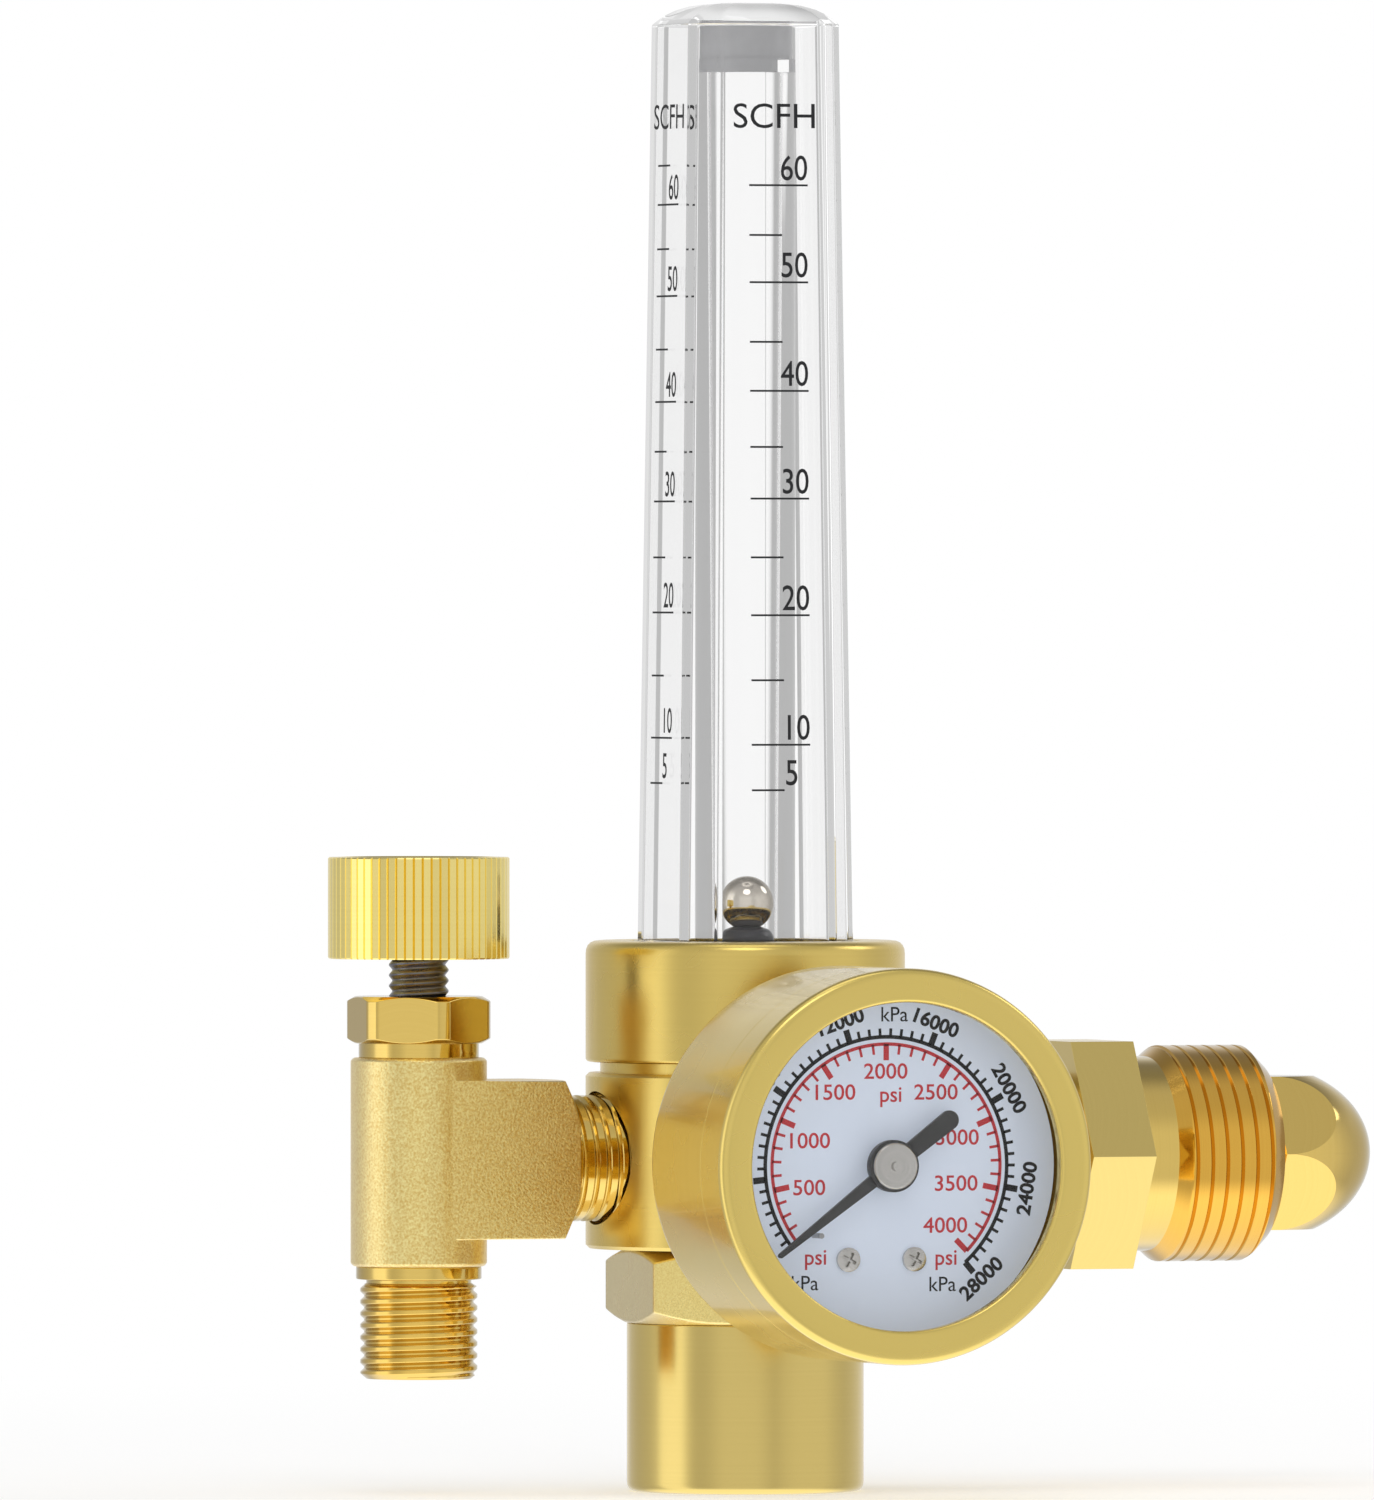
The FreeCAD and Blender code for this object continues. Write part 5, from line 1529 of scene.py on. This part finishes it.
@dataclass
class Inlet:
    """Cylinder nut with its male thread, and the nipple with the bullet nose."""

    nut_start: float = 36.4
    hex_flats: float = 25.7
    hex_end: float = 44.0
    neck_radius: float = 11.04
    neck_end: float = 48.2
    thread_radius: float = 12.255
    pitch: float = 1.814
    nut_end: float = 61.2
    end_radius: float = 10.6
    bore: float = 6.38
    shaft: float = 6.3
    shaft_start: float = 36.1
    tail_start: float = 24.1
    tail_radius: float = 6.9
    gas_bore: float = 1.5
    nose_start: float = 61.5
    nose_round: float = 0.3
    nose_length: float = 13.3
    nose_radius: float = 10.07
    nose_flats: float = 17.4
    nose_edge: float = 0.15

    def nose_grid(self) -> np.ndarray:
        """The nose: a hexagonal bar inside an oval of revolution.

        A meridian runs up the bar's side to where the oval cuts it, at
        start + length sqrt(1 - (side / oval radius)^2), and then along the oval, whose radius
        is oval radius sqrt(1 - (height / length)^2), to the bore.

        Returns:
            Points as rows by columns by three.
        """
        angle = full_turn(240)
        side = hex_radius(angle, self.nose_flats, 30)
        middle = self.nose_start + self.nose_round
        meet = np.sqrt(np.clip(1 - (side / self.nose_radius) ** 2, 0, 1))
        meet = np.where(side < self.nose_radius, meet, 0.0)
        side = np.minimum(side, self.nose_radius)
        low = np.arccos(np.clip(side / self.nose_radius, 0, 1))
        last = math.acos(self.gas_bore / self.nose_radius)
        share = np.linspace(0, 1, 40)[:, None]
        curve = low + share * (last - low)
        flat = np.zeros_like(side)
        radius = np.vstack([flat + self.gas_bore, side - self.nose_edge, side,
                            self.nose_radius * np.cos(curve), flat + self.gas_bore])
        height = np.vstack([flat + self.nose_start, flat + self.nose_start,
                            flat + self.nose_start + self.nose_edge,
                            middle + self.nose_length * np.sin(curve),
                            flat + self.nose_start])
        return polar(INLET, angle, radius, height)

    def build(self, frame: dict) -> None:
        """Makes the nut and the nipple, and finishes the filter.
        """
        grid = hexagon(INLET, self.hex_flats, self.nut_start, self.hex_end, self.bore, 30,
                       (False, False))
        add_surface("inlet_hexagon", grid, SATIN_BRASS, INLET, "inlet_nut", ["inlet_nut"],
                    soften=0.25)
        neck = [(self.bore, self.hex_end, 0), (self.neck_radius, self.hex_end, 0),
                (self.neck_radius, self.neck_end, 0), (self.bore, self.neck_end, 0)]
        add_surface("inlet_neck", turned(INLET, neck), BRIGHT_BRASS, INLET, "inlet_nut",
                    ["inlet_nut"])
        thread = Thread(self.thread_radius, self.pitch, depth=0.34, low=self.neck_end,
                        high=self.nut_end, low_radius=self.neck_radius,
                        high_radius=self.end_radius, bore=self.bore, low_slope=0.85,
                        high_slope=0.95, crest=0.78, root=0.03)
        add_surface("inlet_thread", thread.surface(INLET, 256), THREAD_BRASS, INLET,
                    "inlet_nut", ["inlet_nut"], wrap_columns=False)
        add_surface("nose", self.nose_grid(), BRIGHT_BRASS, INLET, nodes=["inlet_nipple"],
                    crease=24)
        shaft = [(self.gas_bore, self.tail_start, 0), (self.tail_radius, self.tail_start, 0.3),
                 (self.tail_radius, self.shaft_start, 0), (self.shaft, self.shaft_start, 0),
                 (self.shaft, self.nose_start, 0), (self.gas_bore, self.nose_start, 0)]
        add_surface("nipple_shaft", turned(INLET, shaft, 96), BRIGHT_BRASS, INLET,
                    nodes=["inlet_nipple"])
        dress(frame, "inlet_filter", SINTERED)


# Studio

@dataclass
class Studio:
    """Pale floor, soft light all round and the camera of the photograph."""

    azimuth: float = -20.0
    elevation: float = 0.4
    lens: float = 600.0
    sensor: float = 36.0
    frame_height: float = 169.03       # seen at the aim, in millimetres
    aim: tuple[float, float, float] = (-6.17, 2.24, 83.5)
    floor_radius: float = 0.6
    mid: float = 0.78
    brightest: float = 1.7
    overhead: float = 0.74             # high in front, as a share of the mid tone
    behind_high: float = 0.38          # high behind
    edge_grey: float = 0.46            # seen through bent edges of clear pieces
    # parts of the direction, up or away from the camera, over which a tone comes in
    overhead_from: tuple[float, float] = (0.35, 0.75)
    behind_from: tuple[float, float] = (-0.1, 0.4)
    zenith_from: tuple[float, float] = (0.95, 0.985)
    straight_from: tuple[float, float] = (0.99, 0.998)
    floor_light: float = 1.75          # of the floor below, as a share of the mid tone
    floor_lift: float = 0.36           # light of the floor's own, over its matt shade
    floor_fade: tuple[float, float] = (0.12, 0.4)    # metres over which it turns white
    floor_flat: tuple[float, float] = (0.25, 0.6)    # flatness of a look that sees the room
    # angle right of the camera, and light there as a share of the mid tone
    surround: tuple[tuple[float, float], ...] = (
        (-180, 1.15), (-165, 1.05), (-150, 0.78), (-128, 0.7), (-108, 0.78), (-97, 0.95),
        (-89, 1.6), (-65, 1.65), (-57, 0.95), (-50, 0.76), (-38, 0.8), (-22, 1.0), (12, 1.0),
        (22, 0.88), (29, 0.78), (37, 0.9), (50, 1.0), (84, 1.0), (97, 0.86), (112, 0.76),
        (134, 0.86), (155, 1.0), (180, 1.15))

    def back(self) -> Vector:
        """Direction from the aim to the camera."""
        a, e = math.radians(self.azimuth), math.radians(self.elevation)
        return Vector((math.sin(a) * math.cos(e), -math.cos(a) * math.cos(e), math.sin(e)))

    def camera(self) -> None:
        """Sets the camera at the distance where the sensor's long side spans the frame."""
        data = bpy.data.cameras.new("camera")
        data.lens = self.lens
        data.sensor_width = self.sensor
        data.clip_start, data.clip_end = 0.05, 50
        camera = put("camera", data)
        distance = self.frame_height * MM * self.lens / self.sensor
        camera.location = Vector(self.aim) * MM + self.back() * distance
        camera.rotation_mode = "QUATERNION"
        camera.rotation_quaternion = (-self.back()).to_track_quat("-Z", "Y")
        bpy.context.scene.camera = camera

    def world(self) -> None:
        """Lights the scene by a room whose tone depends on the direction only.

        Round the horizon the tone follows the surround list, and overhead it is brighter.
        What the camera shows of it, directly or straight through clear pieces, is plain white,
        and through their bent edges grey.
        """
        world = bpy.data.worlds.new("studio")
        bpy.context.scene.world = world
        world.use_nodes = True
        tree = world.node_tree
        tree.nodes.clear()
        place = add_node(tree, "ShaderNodeTexCoord").outputs["Generated"]
        facing = add_node(tree, "ShaderNodeVectorRotate", {"rotation_type": "Z_AXIS"}, {
            "Vector": place, "Angle": -math.radians(self.azimuth)}).outputs["Vector"]
        parts = add_node(tree, "ShaderNodeSeparateXYZ", {}, {0: facing})
        behind = add_node(tree, "ShaderNodeMath", {"operation": "MULTIPLY"},
                          {0: parts.outputs["Y"], 1: -1.0}).outputs["Value"]
        angle = add_node(tree, "ShaderNodeMath", {"operation": "ARCTAN2"},
                         {0: parts.outputs["X"], 1: behind}).outputs["Value"]
        share = add_node(tree, "ShaderNodeMapRange", {}, {
            "Value": angle, "From Min": -math.pi, "From Max": math.pi}).outputs["Result"]
        ramp = add_node(tree, "ShaderNodeValToRGB", {}, {"Fac": share})
        elements = ramp.color_ramp.elements
        for index, (degrees, tone) in enumerate(self.surround):
            at = (degrees + 180) / 360
            stop = elements[index] if index < 2 else elements.new(at)
            stop.position = at
            stop.color = grey(tone / self.brightest)
        around = add_node(tree, "ShaderNodeVectorMath", {"operation": "SCALE"}, {
            0: ramp.outputs["Color"], "Scale": self.brightest * self.mid})
        over, rearward, zenith, straight = (
            add_node(tree, "ShaderNodeMapRange", {"interpolation_type": "SMOOTHSTEP"}, {
                "Value": parts.outputs[axis], "From Min": start,
                "From Max": end}).outputs["Result"]
            for axis, (start, end) in (("Z", self.overhead_from), ("Y", self.behind_from),
                                       ("Z", self.zenith_from), ("Y", self.straight_from)))
        high, edge = (
            add_node(tree, "ShaderNodeMix", {"data_type": "RGBA"}, {
                0: amount, 6: grey(before), 7: grey(after)}).outputs[2]
            for amount, before, after in (
                (rearward, self.overhead * self.mid, self.behind_high * self.mid),
                (straight, self.edge_grey, 1.0)))
        path = add_node(tree, "ShaderNodeLightPath")
        bounced = add_node(tree, "ShaderNodeMath", {"operation": "ADD"}, {
            0: path.outputs["Diffuse Depth"], 1: path.outputs["Glossy Depth"]}).outputs["Value"]
        unbounced = add_node(tree, "ShaderNodeMath", {"operation": "LESS_THAN"}, {
            0: bounced, 1: 0.5}).outputs["Value"]
        through = add_node(tree, "ShaderNodeMath", {"operation": "MULTIPLY"}, {
            0: path.outputs["Is Transmission Ray"], 1: unbounced}).outputs["Value"]
        room = around.outputs["Vector"]
        for amount, tone in ((over, high), (zenith, grey(self.brightest * self.mid)),
                             (through, edge), (path.outputs["Is Camera Ray"], WHITE)):
            room = add_node(tree, "ShaderNodeMix", {"data_type": "RGBA"}, {
                0: amount, 6: room, 7: tone}).outputs[2]
        shader = add_node(tree, "ShaderNodeBackground", {}, {"Color": room})
        add_node(tree, "ShaderNodeOutputWorld", {}, {"Surface": shader.outputs[0]})

    def floor(self) -> None:
        """Lays a pale round floor whose rim fades into the white background.

        The camera sees it matt, with the object's shadow, and plain white further out.
        Reflections see the floor right below them bright, and at a flat angle the room.
        """
        radius = np.linspace(self.floor_radius, 0, 25)[:, None] / MM
        grid = polar(TUBE, full_turn(96), radius, np.array([[0.0]]))
        floor = put("floor", mesh_of("floor", grid, True, False, 30))
        made = bpy.data.materials.new("pale_floor")
        made.use_nodes = True
        tree = made.node_tree
        tree.nodes.clear()
        place = add_node(tree, "ShaderNodeTexCoord").outputs["Object"]
        far = add_node(tree, "ShaderNodeVectorMath", {"operation": "LENGTH"},
                       {0: place}).outputs["Value"]
        angle = add_node(tree, "ShaderNodeLayerWeight", {}, {"Blend": 0.5}).outputs["Facing"]
        fade, flat = (
            add_node(tree, "ShaderNodeMapRange", {"interpolation_type": "SMOOTHSTEP"}, {
                "Value": value, "From Min": start, "From Max": end}).outputs["Result"]
            for value, (start, end) in ((far, self.floor_fade), (angle, self.floor_flat)))
        matt = add_node(tree, "ShaderNodeBsdfDiffuse", {}, {"Color": srgb("F4F4F4")})
        lift, plain, below = (
            add_node(tree, "ShaderNodeEmission", {}, {"Color": WHITE, "Strength": strength})
            for strength in (self.floor_lift, 1.0, self.floor_light * self.mid))
        both = add_node(tree, "ShaderNodeAddShader", {}, {
            0: matt.outputs[0], 1: lift.outputs[0]})
        shown = add_node(tree, "ShaderNodeMixShader", {}, {
            0: fade, 1: both.outputs[0], 2: plain.outputs[0]})
        room = add_node(tree, "ShaderNodeBsdfTransparent")
        mirrored = add_node(tree, "ShaderNodeMixShader", {}, {
            0: flat, 1: below.outputs[0], 2: room.outputs[0]})
        glossy = add_node(tree, "ShaderNodeLightPath").outputs["Is Glossy Ray"]
        final = add_node(tree, "ShaderNodeMixShader", {}, {
            0: glossy, 1: shown.outputs[0], 2: mirrored.outputs[0]})
        add_node(tree, "ShaderNodeOutputMaterial", {}, {"Surface": final.outputs[0]})
        floor.data.materials.append(made)

    def lamp(self, name: str, place: tuple[float, float, float], size: float,
             energy: float) -> None:
        """Hangs a round soft lamp that looks at the object's middle.

        Args:
            name: the lamp's name.
            place: where it hangs, in metres.
            size: its width in metres.
            energy: its power in watts.
        """
        data = bpy.data.lights.new(name, "AREA")
        data.shape = "DISK"
        data.size = size
        data.energy = energy
        lamp = put(name, data)
        lamp.location = place
        away = Vector((0, 0, 0.06)) - lamp.location
        lamp.rotation_mode = "QUATERNION"
        lamp.rotation_quaternion = away.to_track_quat("-Z", "Y")
        lamp.visible_camera = False

    def build(self) -> None:
        """Makes the camera, the light and the floor."""
        self.camera()
        self.world()
        self.floor()
        self.lamp("front_lamp", (-0.24, -0.66, 0.9), 0.5, 0.9)
        self.lamp("right_lamp", (0.8, -0.07, 0.66), 0.4, 0.7)
        bpy.context.scene.view_settings.view_transform = "Standard"


def main() -> None:
    """Loads the frame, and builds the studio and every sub-assembly."""
    logging.basicConfig(level=logging.INFO, format="%(name)s: %(message)s")
    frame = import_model()
    Studio().build()
    for assembly in (Bonnet(), Collar(), Flowmeter(), Gauge(), OutletValve(), Inlet()):
        assembly.build(frame)
        log.info("built %s", type(assembly).__name__)


if __name__ == "__main__":
    main()
